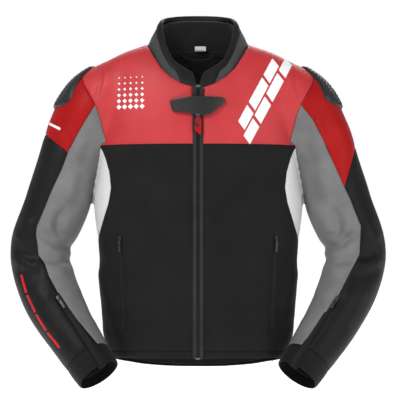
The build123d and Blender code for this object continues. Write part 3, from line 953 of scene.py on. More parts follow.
# ---- Stitching -----------------------------------------------------------
STITCH_ROW, STITCH_PITCH, STITCH_LONG = 3.8, 4.4, 2.9


def contour(points, tris, value, level):
    """The lines along a panel where value equals level, as lists of points."""
    above = value[tris] > level
    mixed = tris[(above.sum(1) == 1) | (above.sum(1) == 2)]
    spots, links = {}, {}
    for tri in mixed.tolist():
        ends = []
        for a, b in ((tri[0], tri[1]), (tri[1], tri[2]), (tri[2], tri[0])):
            va, vb = value[a] - level, value[b] - level
            if (va > 0) == (vb > 0):
                continue
            key = (min(a, b), max(a, b))
            spots[key] = points[a] + (points[b] - points[a]) * (va / (va - vb))
            ends.append(key)
        if len(ends) == 2:
            links.setdefault(ends[0], []).append(ends[1])
            links.setdefault(ends[1], []).append(ends[0])
    lines, seen = [], set()
    starts = [k for k in links if len(links[k]) == 1] + list(links)
    for start in starts:
        if start in seen:
            continue
        line, here = [], start
        while here is not None:
            seen.add(here)
            line.append(spots[here])
            here = next((k for k in links[here] if k not in seen), None)
        if len(line) > 6:
            lines.append(np.array(line))
    return lines


def evenly(line, pitch):
    """Points every pitch along a line, with the direction there."""
    line = np.asarray(line, float)
    run = np.concatenate([[0], np.cumsum(np.linalg.norm(np.diff(line, axis=0), axis=1))])
    at = np.arange(pitch / 2, run[-1], pitch)
    spots = np.stack([np.interp(at, run, line[:, k]) for k in range(3)], 1)
    ahead = np.stack([np.interp(at + 1.5, run, line[:, k]) for k in range(3)], 1)
    behind = np.stack([np.interp(at - 1.5, run, line[:, k]) for k in range(3)], 1)
    return spots, unit(ahead - behind)


def stitch_mesh(spots, along, out, length, width, lift):
    """One small thread loop per spot, pointed where it enters the leather."""
    side = unit(np.cross(along, out))
    n = len(spots)
    rows = [spots - along * length / 2 - out * 0.3, spots + side * width / 2 + out * lift * 0.4,
            spots + out * lift, spots - side * width / 2 + out * lift * 0.4, spots - out * 0.3,
            spots + along * length / 2 - out * 0.3]
    points = np.stack(rows, 1).reshape(-1, 3)
    base = np.array([(0, 2, 1), (0, 3, 2), (0, 4, 3), (0, 1, 4), (5, 1, 2), (5, 2, 3), (5, 3, 4), (5, 4, 1)])
    faces = (np.arange(n)[:, None, None] * 6 + base).reshape(-1, 3)
    return points, faces


def stitched(name, lines, normal_at, pitch=STITCH_PITCH):
    """A row of stitches along each line."""
    spots, along = [], []
    for line in lines:
        p, d = evenly(line, pitch)
        spots.append(p)
        along.append(d)
    if not spots:
        return None
    spots, along = np.concatenate(spots), np.concatenate(along)
    out = normal_at(spots)
    points, faces = stitch_mesh(spots, along, out, STITCH_LONG * pitch / STITCH_PITCH, 0.9, 0.45)
    return new_object(name, points, faces)


def nearest_normals(p, source, normals):
    tree = KDTree(len(source))
    for i, q in enumerate(source):
        tree.insert(q, i)
    tree.balance()
    return normals[[tree.find(q)[1] for q in p]]


def panel_stitching(label, name):
    chosen = skin_tris[labels == CODE[label]]
    points, tris, used = compact(skin_points, chosen)
    lines = contour(points, tris, seam_far[used], STITCH_ROW)
    return stitched(name, lines, lambda p: nearest_normals(p, points, skin_normals[used]))


# ---- Flat graphics -------------------------------------------------------
def refined(points, tris):
    """Every triangle in four."""
    pairs = np.sort(np.concatenate([tris[:, [0, 1]], tris[:, [1, 2]], tris[:, [2, 0]]]), 1)
    edges, back = np.unique(pairs, axis=0, return_inverse=True)
    middle = (points[edges[:, 0]] + points[edges[:, 1]]) / 2
    m = back.ravel().reshape(3, -1) + len(points)
    a, b, c = tris.T
    parts = [np.stack(t, 1) for t in ((a, m[0], m[2]), (m[0], b, m[1]), (m[2], m[1], c), tuple(m))]
    return np.concatenate([points, middle]), np.concatenate(parts)


def polygon_field(*shapes):
    """Positive inside any of the convex shapes in the (x, z) plane, given round counter-clockwise or not."""
    def field(p):
        best = np.full(len(p), -99.0)
        for shape in shapes:
            q = np.array(shape, float)
            area = np.sum(q[:, 0] * np.roll(q[:, 1], -1) - q[:, 1] * np.roll(q[:, 0], -1))
            if area < 0:
                q = q[::-1]
            inside = np.full(len(p), 99.0)
            for a, b in zip(q, np.roll(q, -1, 0)):
                d = (b - a) / np.hypot(*(b - a))
                inside = np.minimum(inside, d[0] * (p[:, 2] - a[1]) - d[1] * (p[:, 0] - a[0]))
            best = np.maximum(best, inside)
        return best
    return field


def print_on(name, labels_wanted, field, box, rounds=1, lift=0.28):
    """A thin printed or bonded shape that follows the panels under it."""
    codes = [CODE[n] for n in labels_wanted]
    c = skin_points[skin_tris].mean(1)
    (x0, z0), (x1, z1) = box
    chosen = np.isin(labels, codes) & (c[:, 0] > x0) & (c[:, 0] < x1) & (c[:, 2] > z0) & (c[:, 2] < z1)
    chosen &= c[:, 1] < 20
    points, tris, _ = compact(skin_points, skin_tris[chosen])
    for _ in range(rounds):
        points, tris = refined(points, tris)
    points, tris, _ = cut(points, tris, field)
    tris = tris[field(points[tris].mean(1)) > 0]
    points, tris, _ = compact(points, tris)
    normals = normals_of(points, tris)
    outer, faces, _ = shell(points + normals * lift, tris, normals, lift + 0.5, 0.0)
    return new_object(name, outer, faces)


def bar(x, z, length, width, angle, slant=0.0):
    """A slanted bar centred at (x, z), turned by angle degrees."""
    u = np.array([cos(radians(angle)), sin(radians(angle))])
    v = np.array([-u[1], u[0]])
    c = np.array([x, z], float)
    corners = [(-0.5, -0.5), (0.5, -0.5), (0.5, 0.5), (-0.5, 0.5)]
    return [tuple(c + u * (a * length + b * slant) + v * b * width) for a, b in corners]


# ---- Collar --------------------------------------------------------------
COLLAR_ROWS = [((2.8, -108, -96), (10, -88, -71)), ((31, -104, -91), (29, -84, -61)),
               ((56, -94, -76), (48, -74, -48)), ((77, -76, -56), (64, -57, -21)),
               ((94, -49, -29), (75, -33, 13)),
               ((104, -14, -5), (81, -7, 41)), ((97, 28, 4), (75, 25, 54)), ((66, 56, 5), (52, 49, 61)),
               ((0, 68, 5), (0, 59, 64))]


def collar_line(count):
    """Foot, top, along, up and inward directions round the collar, from the right front to the left."""
    right = [((-f[0], f[1], f[2]), (-t[0], t[1], t[2])) for f, t in COLLAR_ROWS]
    rows = np.array(right + COLLAR_ROWS[-2::-1], float)
    keys = np.concatenate([[0], np.cumsum(np.linalg.norm(np.diff(rows[:, 1], axis=0), axis=1))])
    at = np.linspace(0, keys[-1], count)
    foot, top = table_curve(keys, rows[:, 0], at), table_curve(keys, rows[:, 1], at)
    along = unit(np.gradient(top, axis=0))
    up = unit(top - foot)
    inward = unit(np.cross(along, up))
    flip = np.sign(np.sum(inward * -foot * [1, 1, 0], 1))
    inward = inward * np.where(flip == 0, 1, flip)[:, None]
    return foot, top, along, up, inward


def sweep(name, rings):
    """A closed skin through rings of equal length, capped at both ends with small domes."""
    rings = np.asarray(rings, float)
    count = rings.shape[1]
    first, last = rings[0].mean(0), rings[-1].mean(0)
    start = [first + (rings[0] - first) * k + (rings[0].mean(0) - rings[1].mean(0)) * s
             for k, s in ((0.55, 0.32), (0.85, 0.2))]
    end = [last + (rings[-1] - last) * k + (rings[-1].mean(0) - rings[-2].mean(0)) * s
           for k, s in ((0.85, 0.2), (0.55, 0.32))]
    points = np.concatenate([np.concatenate(start), rings.reshape(-1, 3), np.concatenate(end)])
    obj = new_object(name, points, tube_faces(len(rings) + 4, count))
    return obj


def facing_out(obj):
    """Turns all faces outwards."""
    work = bmesh.new()
    work.from_mesh(obj.data)
    bmesh.ops.recalc_face_normals(work, faces=work.faces)
    work.to_mesh(obj.data)
    work.free()
    return obj


def make_collar():
    """A ribbed outer band, a broad padded edge folded over the top, and the inside facing."""
    line = collar_line(200)
    foot, top, _, up, inward = line
    height = np.linalg.norm(top - foot, axis=1)
    band = smoothstep(30, 50, np.abs(foot[:, 0]) + 200 * (foot[:, 1] > -50))
    seam = (height - 13) * band
    keep = seam > 2.0
    part = [v[keep] for v in line]
    level = seam[keep][:, None]
    rows = []
    for rise, share, depth in ((-4, 0, 3.6), (-1.5, 0, 1.4), (1.5, 0, -0.6), (0, 0.25, -1.7), (0, 0.5, -2.1),
                               (0, 0.75, -1.8), (-1.6, 1, -1.0), (-0.2, 1, 0.4), (0.6, 1, 2.6), (0, 0.5, 2.8),
                               (0, 0.1, 3.0), (-4, 0, 4.6)):
        swell = min(max(share, 0.0), 1.0) * (1 - min(max(share, 0.0), 1.0)) * 2
        lift = 0.7 * soft_noise(part[0], 70, 9)[:, None] * swell
        rows.append(part[0] + part[3] * (rise + level * share) + part[4] * (depth + lift))
    obj = facing_out(sweep("collar_ribbed_band", np.stack(rows, 1)))
    finish_with(obj, "collar_rib", "torso", ["collar_band"])
    lines = [part[0] + part[3] * (level - 3.4) + part[4] * -1.75, part[0] + part[3] * 4.2 + part[4] * -1.5]
    obj = stitched("collar_band_stitching", lines, lambda p: -nearest_normals(p, part[0], part[4]), 4.2)
    finish_with(obj, "zip_tape", "torso")
    # broad padded edge
    rows, tall = [], (height - seam)[:, None] + 7.6
    base = foot + up * seam[:, None]
    pucker = 0.22 * np.sin(np.arange(len(foot)) * 2 * pi / 6)[:, None]
    for share, rise, depth in ((0, -1.5, 1.4), (0, -0.4, -0.2), (0, 1.5, -1.3), (0.2, 0, -2.3),
                               (0.45, 0, -2.7),
                               (0.7, 0, -2.4), (0.86, 0, -1.5), (0.95, 0, -0.1), (1.0, 0, 2.0),
                               (0.985, 0, 3.9),
                               (0.93, 0, 5.6), (0.8, 0, 6.5), (0.6, 0, 6.7), (0.35, 0, 6.2), (0.1, 0, 5.2),
                               (0, -3.0, 4.0)):
        ease = pucker * (share * (1 - share) * 4)
        rows.append(base + up * (rise + tall * share) + inward * (depth + ease))
    obj = facing_out(sweep("collar_padded_edge", np.stack(rows, 1)))
    finish_with(obj, "collar_leather", "torso", ["collar_edge"])
    lines = [base + up * (tall - 6.5) + inward * -1.75]
    obj = stitched("collar_edge_stitching", lines, lambda p: -nearest_normals(p, foot, inward), 4.2)
    finish_with(obj, "collar_leather", "torso")
    # inside facing, down to the lining; at the throat it drops straight, clear of the yokes
    throat = smoothstep(-80, -100, foot[:, 1])[:, None]
    below = unit(up * (1 - throat) + np.array([0, 0, 1.0]) * throat)
    rows = []
    for rise, share, depth in ((-22, 0, 9.0), (-8, 0, 7.6), (0, 0.15, 6.9), (0, 0.5, 6.7), (-6, 1, 6.5),
                               (-3.5, 1, 7.4), (-7, 1, 8.2), (0, 0.5, 8.3), (0, 0.15, 8.5), (-8, 0, 9.3),
                               (-22, 0, 11.0)):
        way = up if share else below
        rows.append(foot + way * rise + up * (height[:, None] * share) + inward * depth)
    finish_with(facing_out(sweep("collar_inside", np.stack(rows, 1))), "lining_mesh", "torso")


# ---- Hardware tools ------------------------------------------------------
def facing_front(x, y, z):
    """Where a flat piece facing the front lies: its origin, across, up and out."""
    return (x, y, z), (1, 0, 0), (0, 0, 1), (0, -1, 0)


def circle_outline(x, z, radius, count=28):
    return [(x + radius * cos(t), z + radius * sin(t)) for t in np.arange(count) * 2 * pi / count]


def rounded_outline(points, step=1.5, rounds=2):
    """Cuts the corners of a closed outline into small curves."""
    q = np.array(points, float)
    for _ in range(rounds):
        ahead = np.roll(q, -1, 0)
        length = np.linalg.norm(ahead - q, axis=1, keepdims=True)
        t = np.minimum(0.3, step / np.maximum(length, 1e-6))
        q = np.stack([q + (ahead - q) * t, ahead - (ahead - q) * t], 1).reshape(-1, 2)
    return q


def plate(name, outline, thick, bevel=0.5, place=None, hole=None):
    """A flat part cut to an outline (across, up), rounded at its edges. place gives the origin and
    the across, up and out directions."""
    origin, across, up, out = place or facing_front(0, 0, 0)
    origin, across, up, out = [np.array(v, float) for v in (origin, across, up, out)]
    work = bmesh.new()
    loops = [outline] + ([hole] if hole is not None else [])
    edges = []
    for loop in loops:
        verts = [work.verts.new(tuple(origin + across * a + up * b)) for a, b in loop]
        edges += [work.edges.new((verts[i], verts[(i + 1) % len(verts)])) for i in range(len(verts))]
    bmesh.ops.triangle_fill(work, edges=edges, use_beauty=True)
    bmesh.ops.dissolve_limit(work, angle_limit=0.01, verts=work.verts, edges=[])
    faces = list(work.faces)
    grown = bmesh.ops.extrude_face_region(work, geom=faces)
    moved = [g for g in grown["geom"] if isinstance(g, bmesh.types.BMVert)]
    bmesh.ops.translate(work, verts=moved, vec=tuple(out * thick))
    bmesh.ops.recalc_face_normals(work, faces=work.faces)
    sharp = [e for e in work.edges if len(e.link_faces) == 2 and e.calc_face_angle(0) > 0.9]
    bmesh.ops.bevel(work, geom=sharp, offset=bevel, segments=2, profile=0.6, affect="EDGES",
                    clamp_overlap=True)
    bmesh.ops.triangulate(work, faces=[f for f in work.faces if len(f.verts) > 4])
    bmesh.ops.scale(work, vec=(MM, MM, MM), verts=work.verts)
    mesh = bpy.data.meshes.new(name)
    work.to_mesh(mesh)
    work.free()
    obj = bpy.data.objects.new(name, mesh)
    bpy.context.scene.collection.objects.link(obj)
    for polygon in mesh.polygons:
        polygon.use_smooth = True
    mesh.set_sharp_from_angle(angle=radians(38))
    return obj


def soft_plate(name, outline, thick, voxel, rounds, place=None, shape=None):
    """A padded or moulded part: a plate whose edges are rounded right over, then shaped."""
    obj = plate(name, outline, thick, 0.3, place)
    remesh = obj.modifiers.new("skin", "REMESH")
    remesh.mode = "VOXEL"
    remesh.voxel_size = voxel * MM
    points, tris = triangles_of(obj)
    bpy.data.objects.remove(obj)
    points = smoothed(points, tris, rounds)
    if shape is not None:
        points = shape(points)
    return new_object(name, points, tris)


def joined(name, *objects):
    bpy.ops.object.select_all(action="DESELECT")
    for o in objects:
        o.select_set(True)
    bpy.context.view_layer.objects.active = objects[0]
    bpy.ops.object.join()
    objects[0].name = name
    return objects[0]


def local_place(origin, across, up, out, shift=(0, 0, 0)):
    """A place at (across, up, out) from an origin, with the same directions."""
    o, a, u, n = [np.array(v, float) for v in (origin, across, up, out)]
    return (o + a * shift[0] + u * shift[1] + n * shift[2], a, u, n)


def box_outline(width, low, high):
    return [(-width / 2, low), (width / 2, low), (width / 2, high), (-width / 2, high)]


# ---- Zips ----------------------------------------------------------------
def strip(name, centre, across, out, offsets):
    """A ribbon swept along a centre line; offsets are its cross-section (across, out), closed."""
    rings = np.stack([centre + across * a + out * b for a, b in offsets], 1)
    return facing_out(sweep(name, rings))


def teeth(name, centre, along, across, out, reach, width, high, low, top):
    """Rows of interlocking zip teeth along a line of centres."""
    points, faces = [], []
    base = [(0, 1, 2, 3), (4, 7, 6, 5), (0, 4, 5, 1), (1, 5, 6, 2), (2, 6, 7, 3), (3, 7, 4, 0)]
    for i, (c, d, a, o) in enumerate(zip(centre, along, across, out)):
        side = 1 if i % 2 else -1
        inner, outer = -reach * side, width * side
        for level, slim in ((low, 1.0), (top, 0.72)):
            for x, h in ((inner, 0.62), (outer, 1.0), (outer, -1.0), (inner, -0.62)):
                points.append(c + a * x * slim + d * high * h * slim + o * level)
        n = i * 8
        faces += [tuple(n + k for k in (f if side > 0 else f[::-1])) for f in base]
    obj = facing_out(new_object(name, points, faces))
    obj.data.polygons.foreach_set("use_smooth", np.zeros(len(obj.data.polygons), bool))
    bevel = obj.modifiers.new("edge", "BEVEL")
    bevel.width = 0.12 * MM
    bevel.segments = 1
    return obj


def slider_body(name, place, wide, long, thick):
    """The runner of a zip: a shield-shaped plate, its raised bridge and its side rails."""
    o, a, u, n = [np.array(v, float) for v in place]
    half = long / 2
    shield = [(-wide * 0.32, -half), (wide * 0.32, -half), (wide * 0.46, -half * 0.3),
              (wide * 0.5, half * 0.55),
              (wide * 0.3, half), (0, half * 0.82), (-wide * 0.3, half), (-wide * 0.5, half * 0.55),
              (-wide * 0.46, -half * 0.3)]
    base = plate(name + "_base", rounded_outline(shield, 1.0), thick * 0.45, 0.25, place)
    rail = plate(name + "_rail", rounded_outline([(p[0] * 0.8, p[1] * 0.86) for p in shield], 1.0),
                 thick * 0.3, 0.2,
                 local_place(o, a, u, n, (0, 0, thick * 0.4)))
    arch = [(-half * 0.62, thick * 0.6), (-half * 0.5, thick * 1.1), (-half * 0.2, thick * 1.45),
            (half * 0.2, thick * 1.45), (half * 0.5, thick * 1.1), (half * 0.62, thick * 0.6),
            (half * 0.45, thick * 0.6), (half * 0.2, thick * 1.0), (-half * 0.2, thick * 1.0),
            (-half * 0.45, thick * 0.6)]
    side = (o - a * wide * 0.1, u, n, a)
    bridge = plate(name + "_bridge", rounded_outline(arch, 0.4, 1), wide * 0.2, 0.15, side)
    return joined(name, base, rail, bridge)


def pull_tab(name, place, wide, long, thick):
    """A small metal pull with an eye at its upper end and a grip groove."""
    tab = [(-wide * 0.36, 0), (wide * 0.36, 0), (wide * 0.5, -long * 0.3), (wide * 0.5, -long * 0.9),
           (wide * 0.3, -long), (-wide * 0.3, -long), (-wide * 0.5, -long * 0.9), (-wide * 0.5, -long * 0.3)]
    eye = circle_outline(0, -long * 0.12, wide * 0.2, 10)
    body = plate(name + "_body", rounded_outline(tab, 1.0), thick, 0.25, place, hole=eye)
    o, a, u, n = [np.array(v, float) for v in place]
    grip = plate(name + "_grip", rounded_outline(box_outline(wide * 0.55, -long * 0.86, -long * 0.4), 0.8),
                 0.4, 0.12,
                 local_place(o, a, u, n, (0, 0, thick)))
    return joined(name, body, grip)


def make_front_zip():
    bottom, top = -640.0, -98.0
    z = np.linspace(top, bottom, 110)
    y = np.full(len(z), -112.9)
    line = np.stack([np.zeros(len(z)), y, z], 1)
    out, across = np.tile([0, -1.0, 0], (len(z), 1)), np.tile([1.0, 0, 0], (len(z), 1))
    for side, sign in SIDES:
        section = [(2.5, -0.5), (2.5, 0.8), (3.1, 1.25), (3.9, 0.9), (4.3, 0.35), (6.5, 0.3), (9.2, 0.35),
                   (9.9, 0.55), (10.4, 0.3), (10.4, -0.5)]
        tape = strip("front_zip_tape_cloth_" + side, line, across * sign, out, section)
        finish_with(tape, "zip_tape", "torso", ["front_zip_tape_" + side])
    pitch = 1.75
    z = np.arange(top - 3, bottom + 4, -pitch)
    line = np.stack([np.zeros(len(z)), np.full(len(z), -113.6), z], 1)
    n = len(z)
    chain = teeth("front_zip_chain", line, np.tile([0, 0, -1.0], (n, 1)), np.tile([1.0, 0, 0], (n, 1)),
                  np.tile([0, -1.0, 0], (n, 1)), 1.5, 3.5, 1.05, 0.0, 1.7)
    finish_with(chain, "zip_chain", "torso", ["front_zip_teeth"])
    place = facing_front(0, -115.7, -146)
    finish_with(slider_body("front_zip_runner", place, 12.5, 22, 2.2), "zip_metal", "front_slider",
                ["front_zip_slider"])
    link = pull_tab("front_zip_link", facing_front(0, -117.9, -157.4), 6.5, 13.6, 1.4)
    finish_with(link, "zip_metal", "front_pull", ["front_zip_pull"])
    outline = [(-5.2, -161), (6.4, -161), (7.2, -180), (6.6, -197.5), (-1.5, -191), (-8.6, -182),
               (-5.2, -175)]
    strap = soft_plate("pull_strap_leather", rounded_outline(outline, 2.5), 2.2, 0.55, 2,
                       facing_front(0, -119.6, 0))
    finish_with(strap, "red_leather", "front_pull", ["pull_strap"])
    cap = plate("rivet_rim", circle_outline(-2, -176, 4.0), 1.1, 0.5, facing_front(0, -121.6, 0))
    core = plate("rivet_core", circle_outline(-2, -176, 2.1, 20), 1.0, 0.45, facing_front(0, -122.4, 0))
    finish_with(joined("pull_rivet_cap", cap, core), "dark_metal", "front_pull", ["pull_rivet"])
    stop = plate("front_zip_top_stop", rounded_outline(box_outline(7, -3, 2), 0.8), 2.2, 0.4,
                 facing_front(0, -113.6, -97.5))
    finish_with(stop, "zip_metal", "torso")
    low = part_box("zip_bottom_box")
    box = np.array(low) / MM
    middle = box.mean(0)
    foot = plate("zip_bottom_socket", rounded_outline(box_outline(box[1][0] - box[0][0], box[0][2],
                                                                  box[1][2]), 1.2),
                 box[1][1] - box[0][1], 0.6, facing_front(middle[0], box[1][1], 0))
    finish_with(foot, "zip_metal", "torso", ["zip_bottom_box"])


form_tree = None


def on_form(p, out):
    """Moves points along out on to the worn skin."""
    found = []
    for q, d in zip(p, out):
        hit = form_tree.ray_cast(Vector(q + d * 30), Vector(-d), 60)[0]
        found.append(q if hit is None else np.array(hit))
    return np.array(found)


RUNNER_ROOM = 1.4


def make_track_zip(kind, track, body, slider_body_name, pull_body_name, side, sign):
    """A hidden zip in a slot: tape just under the leather, fine chain, runner and pull."""
    start, along, out, across, length = track
    flip = np.array([sign, 1, 1.0])
    start, along, out, across = [np.array(v, float) * flip for v in (start, along, out, across)]
    stations = np.linspace(-4, length + 4, 60)
    centre = on_form(start + stations[:, None] * along, np.tile(out, (60, 1)))
    centre = smoothed_line(centre, 8) - out * 2.2
    # the runner travels in a straight line, so the chain never stands above its path
    proud = (centre - start) @ out + RUNNER_ROOM
    centre = centre - out * np.maximum(proud, 0)[:, None]
    n = len(centre)
    directions = np.tile(across, (n, 1)), np.tile(out, (n, 1))
    section = [(-7.5, -0.6), (-7.5, 0.1), (-3.4, 0.2), (-2.2, 0.7), (0, 0.35), (2.2, 0.7), (3.4, 0.2),
               (7.5, 0.1),
               (7.5, -0.6)]
    tape = strip(f"{kind}_zip_tape_{side}", centre, *directions, section)
    finish_with(tape, "black_tape", body, [f"{kind}_zip_{side}"])
    pitch = 1.5
    spots, runs = evenly(centre, pitch)
    spots = spots[3:-3]
    runs = runs[3:-3]
    m = len(spots)
    chain = teeth(f"{kind}_zip_chain_{side}", spots, runs, np.tile(across, (m, 1)), np.tile(out, (m, 1)),
                  0.9, 2.0, 0.85, 0.2, 1.5)
    finish_with(chain, "zip_chain", body)
    lift = 2.6
    place = (start + along * 6 + out * (lift - 1.4), across, -along, out)
    runner = slider_body(f"{kind}_runner_{side}", place, 7.2, 12, 1.5)
    finish_with(runner, "dark_metal", slider_body_name, [f"{kind}_slider_{side}"])
    place = (start + along * 9 + out * (lift + 0.7), across, -along, out)
    tab = pull_tab(f"{kind}_pull_tab_{side}", place, 5.4, 23, 1.2)
    finish_with(tab, "dark_metal", pull_body_name, [f"{kind}_pull_{side}"])


def smoothed_line(line, rounds):
    line = line.copy()
    for _ in range(rounds):
        line[1:-1] = (line[:-2] + 2 * line[1:-1] + line[2:]) / 4
    return line


# ---- Badge tab -----------------------------------------------------------
BADGE = [(-56, -125.7), (-34, -121.7), (-10, -118.7), (20, -119.3), (52, -120.7), (57, -127.7), (47, -136.7),
         (35, -146.7), (23, -156.2), (6, -155.4), (-10, -155.2), (-17, -151.7), (-34, -150.7), (-51, -149.7),
         (-54, -137.7)]


def polygon_distance(outline, spots):
    """How far each spot is inside a closed outline; negative outside."""
    best, crossings = np.full(len(spots), 1e9), np.zeros(len(spots), int)
    for a, b in zip(outline, np.roll(outline, -1, 0)):
        d = b - a
        t = np.clip(((spots - a) @ d) / (d @ d), 0, 1)
        best = np.minimum(best, np.linalg.norm(spots - a - t[:, None] * d, axis=1))
        span = (a[1] > spots[:, 1]) != (b[1] > spots[:, 1])
        at = a[0] + (spots[:, 1] - a[1]) * d[0] / (d[1] if abs(d[1]) > 1e-9 else 1e-9)
        crossings += span & (spots[:, 0] < at)
    return np.where(crossings % 2 == 1, best, -best)


BADGE_BOW = 193.0             # radius that the tab is bent to


def bow_depth(x):
    return BADGE_BOW - np.sqrt(BADGE_BOW ** 2 - x ** 2)


def bowed(p):
    q = p.copy()
    q[:, 1] += bow_depth(q[:, 0])
    return q


def make_badge():
    front = facing_front(0, -122.4, 0)
    tab = soft_plate("badge_tab_rubber", rounded_outline(BADGE, 3.0), 3.4, 0.9, 2, front, bowed)
    finish_with(tab, "armour_tpu", "badge", ["badge_tab"])
    # two plain grip ribs, then a field of studs
    relief = [(bar(-18, -130.6, 54, 2.2, 3), 1.4), (bar(-18, -143.4, 54, 2.2, 0), 1.4)]
    dots = [(x, z) for x in np.arange(16, 54, 4.4) for z in np.arange(-152, -122, 4.4)]
    room = polygon_distance(np.array(BADGE, float), np.array(dots))
    relief += [(circle_outline(x, z, 1.2, 7), 1.1) for (x, z), inside in zip(dots, room) if inside > 4.5]
    pieces = []
    for i, (shape, high) in enumerate(relief):
        piece = plate(f"badge_relief_{i}", shape, high, 0.2, facing_front(0, -125.3, 0))
        for v in piece.data.vertices:
            v.co.y += bow_depth(v.co.x / MM) * MM
        pieces.append(piece)
    finish_with(joined("badge_relief", *pieces), "armour_tpu", "badge")
    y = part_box("badge_snap")[1][1] / MM
    snap = plate("badge_snap_stud", circle_outline(-46, -135, 5.0), 3.0, 0.8, facing_front(0, y, 0))
    finish_with(snap, "zip_metal", "torso", ["badge_snap"])


# ---- Shoulder armour -----------------------------------------------------
def make_armour(side, sign):
    """A moulded shell with cross grooves, following the shoulder: narrow at the top, broad below."""
    origin, down = np.array([262, 5, -88.0]), np.array([0.55, 0, -0.835])
    out, fore = np.array([0.835, 0, 0.55]), np.array([0, 1.0, 0])
    us, vs = np.linspace(-1, 1, 121), np.linspace(-1, 1, 61)
    grid = []
    for u in us:
        round_end = max(1 - abs(u) ** 3.0, 0.0) ** 0.55
        front = (38 + 24 * smoothstep(-0.8, 0.7, u)) * round_end + 2
        rear = (34 + 12 * smoothstep(-0.8, 0.7, u)) * round_end + 2
        for v in vs:
            grid.append(origin + down * 61 * u * (1 - 0.05 * v * v) + fore * (front if v < 0 else rear) * v)
    grid = np.array(grid)
    flip = np.array([sign, 1, 1.0])
    cast = -out * flip
    base, direction = np.zeros_like(grid), np.zeros_like(grid)
    for i, q in enumerate(grid * flip):
        spot, normal, _, _ = form_tree.ray_cast(Vector(q - cast * 30), Vector(cast), 150)
        base[i], direction[i] = spot, normal
    rows, columns = len(us), len(vs)
    direction = direction.reshape(rows, columns, 3)
    for _ in range(8):
        padded = np.pad(direction, ((1, 1), (1, 1), (0, 0)), "edge")
        direction = unit(padded[:-2, 1:-1] + padded[2:, 1:-1] + padded[1:-1, :-2] + padded[1:-1,
                                                                                           2:] + direction)
    direction = direction.reshape(-1, 3)
    u, v = [g.ravel() for g in np.meshgrid(us, vs, indexing="ij")]
    edge_u, edge_v = 1 - np.abs(u), 1 - np.abs(v)
    rim = smoothstep(0, 0.13, edge_v) * smoothstep(0, 0.07, edge_u)
    inner = smoothstep(0.14, 0.24, edge_v) * smoothstep(0.09, 0.17, edge_u)
    place = (u * 7.5 + 1.3 * v) % 1
    groove = smoothstep(0.16, 0.04, np.minimum(place, 1 - place))
    lane = np.abs((v * 2.5) % 1 - 0.5)
    groove = np.maximum(groove, 0.8 * smoothstep(0.40, 0.47, lane) * (np.abs(v) < 0.85))
    height = 1.2 + rim * (4.4 - 1.2 * v * v) + inner * (1.0 - 2.2 * groove)
    top = base + direction * height[:, None]
    bottom = base + direction * 0.5
    faces = []
    for i in range(rows - 1):
        for j in range(columns - 1):
            a = i * columns + j
            faces.append((a, a + 1, a + columns + 1, a + columns))
    n = len(grid)
    faces += [tuple(n + k for k in f[::-1]) for f in faces]
    ring = [j for j in range(columns)] + [i * columns + columns - 1 for i in range(1, rows)]
    ring += [(rows - 1) * columns + j for j in range(columns - 2, -1, -1)]
    ring += [i * columns for i in range(rows - 2, 0, -1)]
    for a, b in zip(ring, ring[1:] + ring[:1]):
        faces.append((b, a, a + n, b + n))
    obj = facing_out(new_object("shoulder_armour_" + side, np.concatenate([top, bottom]), faces))
    finish_with(obj, "armour_tpu", "torso", ["shoulder_slider_" + side])


# ---- Lining, label and loop ----------------------------------------------
def make_lining():
    torso = labels < CODE["sleeve_head_left"]
    points, tris, used = compact(skin_points, skin_tris[torso])
    normals = skin_normals[used]
    inner = smoothed(points - normals * 10.6, tris, 10)
    ring = normals_of(inner, tris)
    outer, faces, _ = shell(inner, tris, ring, 0.9, 1.2)
    finish_with(new_object("torso_lining_cloth", outer, faces), "lining_mesh", "torso", ["torso_lining"])
    for side, sign in SIDES:
        stations = np.arange(WRIST - CUFF_LENGTH - 66, WRIST - CUFF_LENGTH + 26, 4.0)
        outside, inside = [], []
        for s in stations:
            ring = arm_ring(s, 72)
            centre = ring.mean(0)
            away = unit(ring - centre)
            outside.append((ring - away * 4.0) * [sign, 1, 1])
            inside.append((ring - away * 5.0) * [sign, 1, 1])
        rings = outside + inside[::-1]
        faces = tube_faces(len(rings), 72, closed=False)
        last = (len(rings) - 1) * 72
        for j in range(72):
            k = (j + 1) % 72
            faces.append((last + j, last + k, k, j))
        obj = facing_out(new_object("sleeve_lining_" + side, np.concatenate(rings), faces))
        finish_with(obj, "lining_mesh", "forearm_" + side)


def make_neck_details():
    low, high = [np.array(v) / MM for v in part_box("neck_label")]
    middle = (low + high) / 2
    outline = rounded_outline(box_outline(high[0] - low[0], low[2], high[2]), 0.6)
    place = facing_front(middle[0], high[1], 0)
    label = soft_plate("neck_label_cloth", outline, 1.0, 0.4, 1, place)
    finish_with(label, "label_white", "torso", ["neck_label"])
    stripe = plate("neck_label_stripe", bar(middle[0], low[2] + 1.6, high[0] - low[0] - 4, 1.0, 0), 0.25,
                   0.05,
                   facing_front(0, high[1] - 0.95, 0))
    finish_with(stripe, "zip_chain", "torso")
    low, high = [np.array(v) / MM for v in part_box("hanger_loop")]
    t = np.linspace(0, pi, 50)
    middle = (low + high) / 2
    line = np.stack([middle[0] - (high[0] - low[0] - 4) / 2 * np.cos(t), np.full(50, middle[1]),
                     high[2] - 1 - (high[2] - low[2] - 3) * np.sin(t) ** 0.8], 1)
    run = unit(np.gradient(line, axis=0))
    side = unit(np.cross(run, [0, 1.0, 0]))
    angle = np.arange(10) * 2 * pi / 10
    rings = np.stack([line + side * 1.9 * cos(a) + np.array([0, 0.7, 0]) * sin(a) for a in angle], 1)
    finish_with(facing_out(sweep("hanger_loop_strap", rings)), "collar_leather", "torso", ["hanger_loop"])


for node, slot in TORSO_PANELS.items():
    finish_with(panel(node, node + "_skin"), slot, "torso", [node])
    finish_with(panel_stitching(node, node + "_stitching"), slot, "torso")
elbow_along = arm_frame(ARM_KEYS[6])[1][0]


def bend_at_shoulder(obj):
    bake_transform(obj)


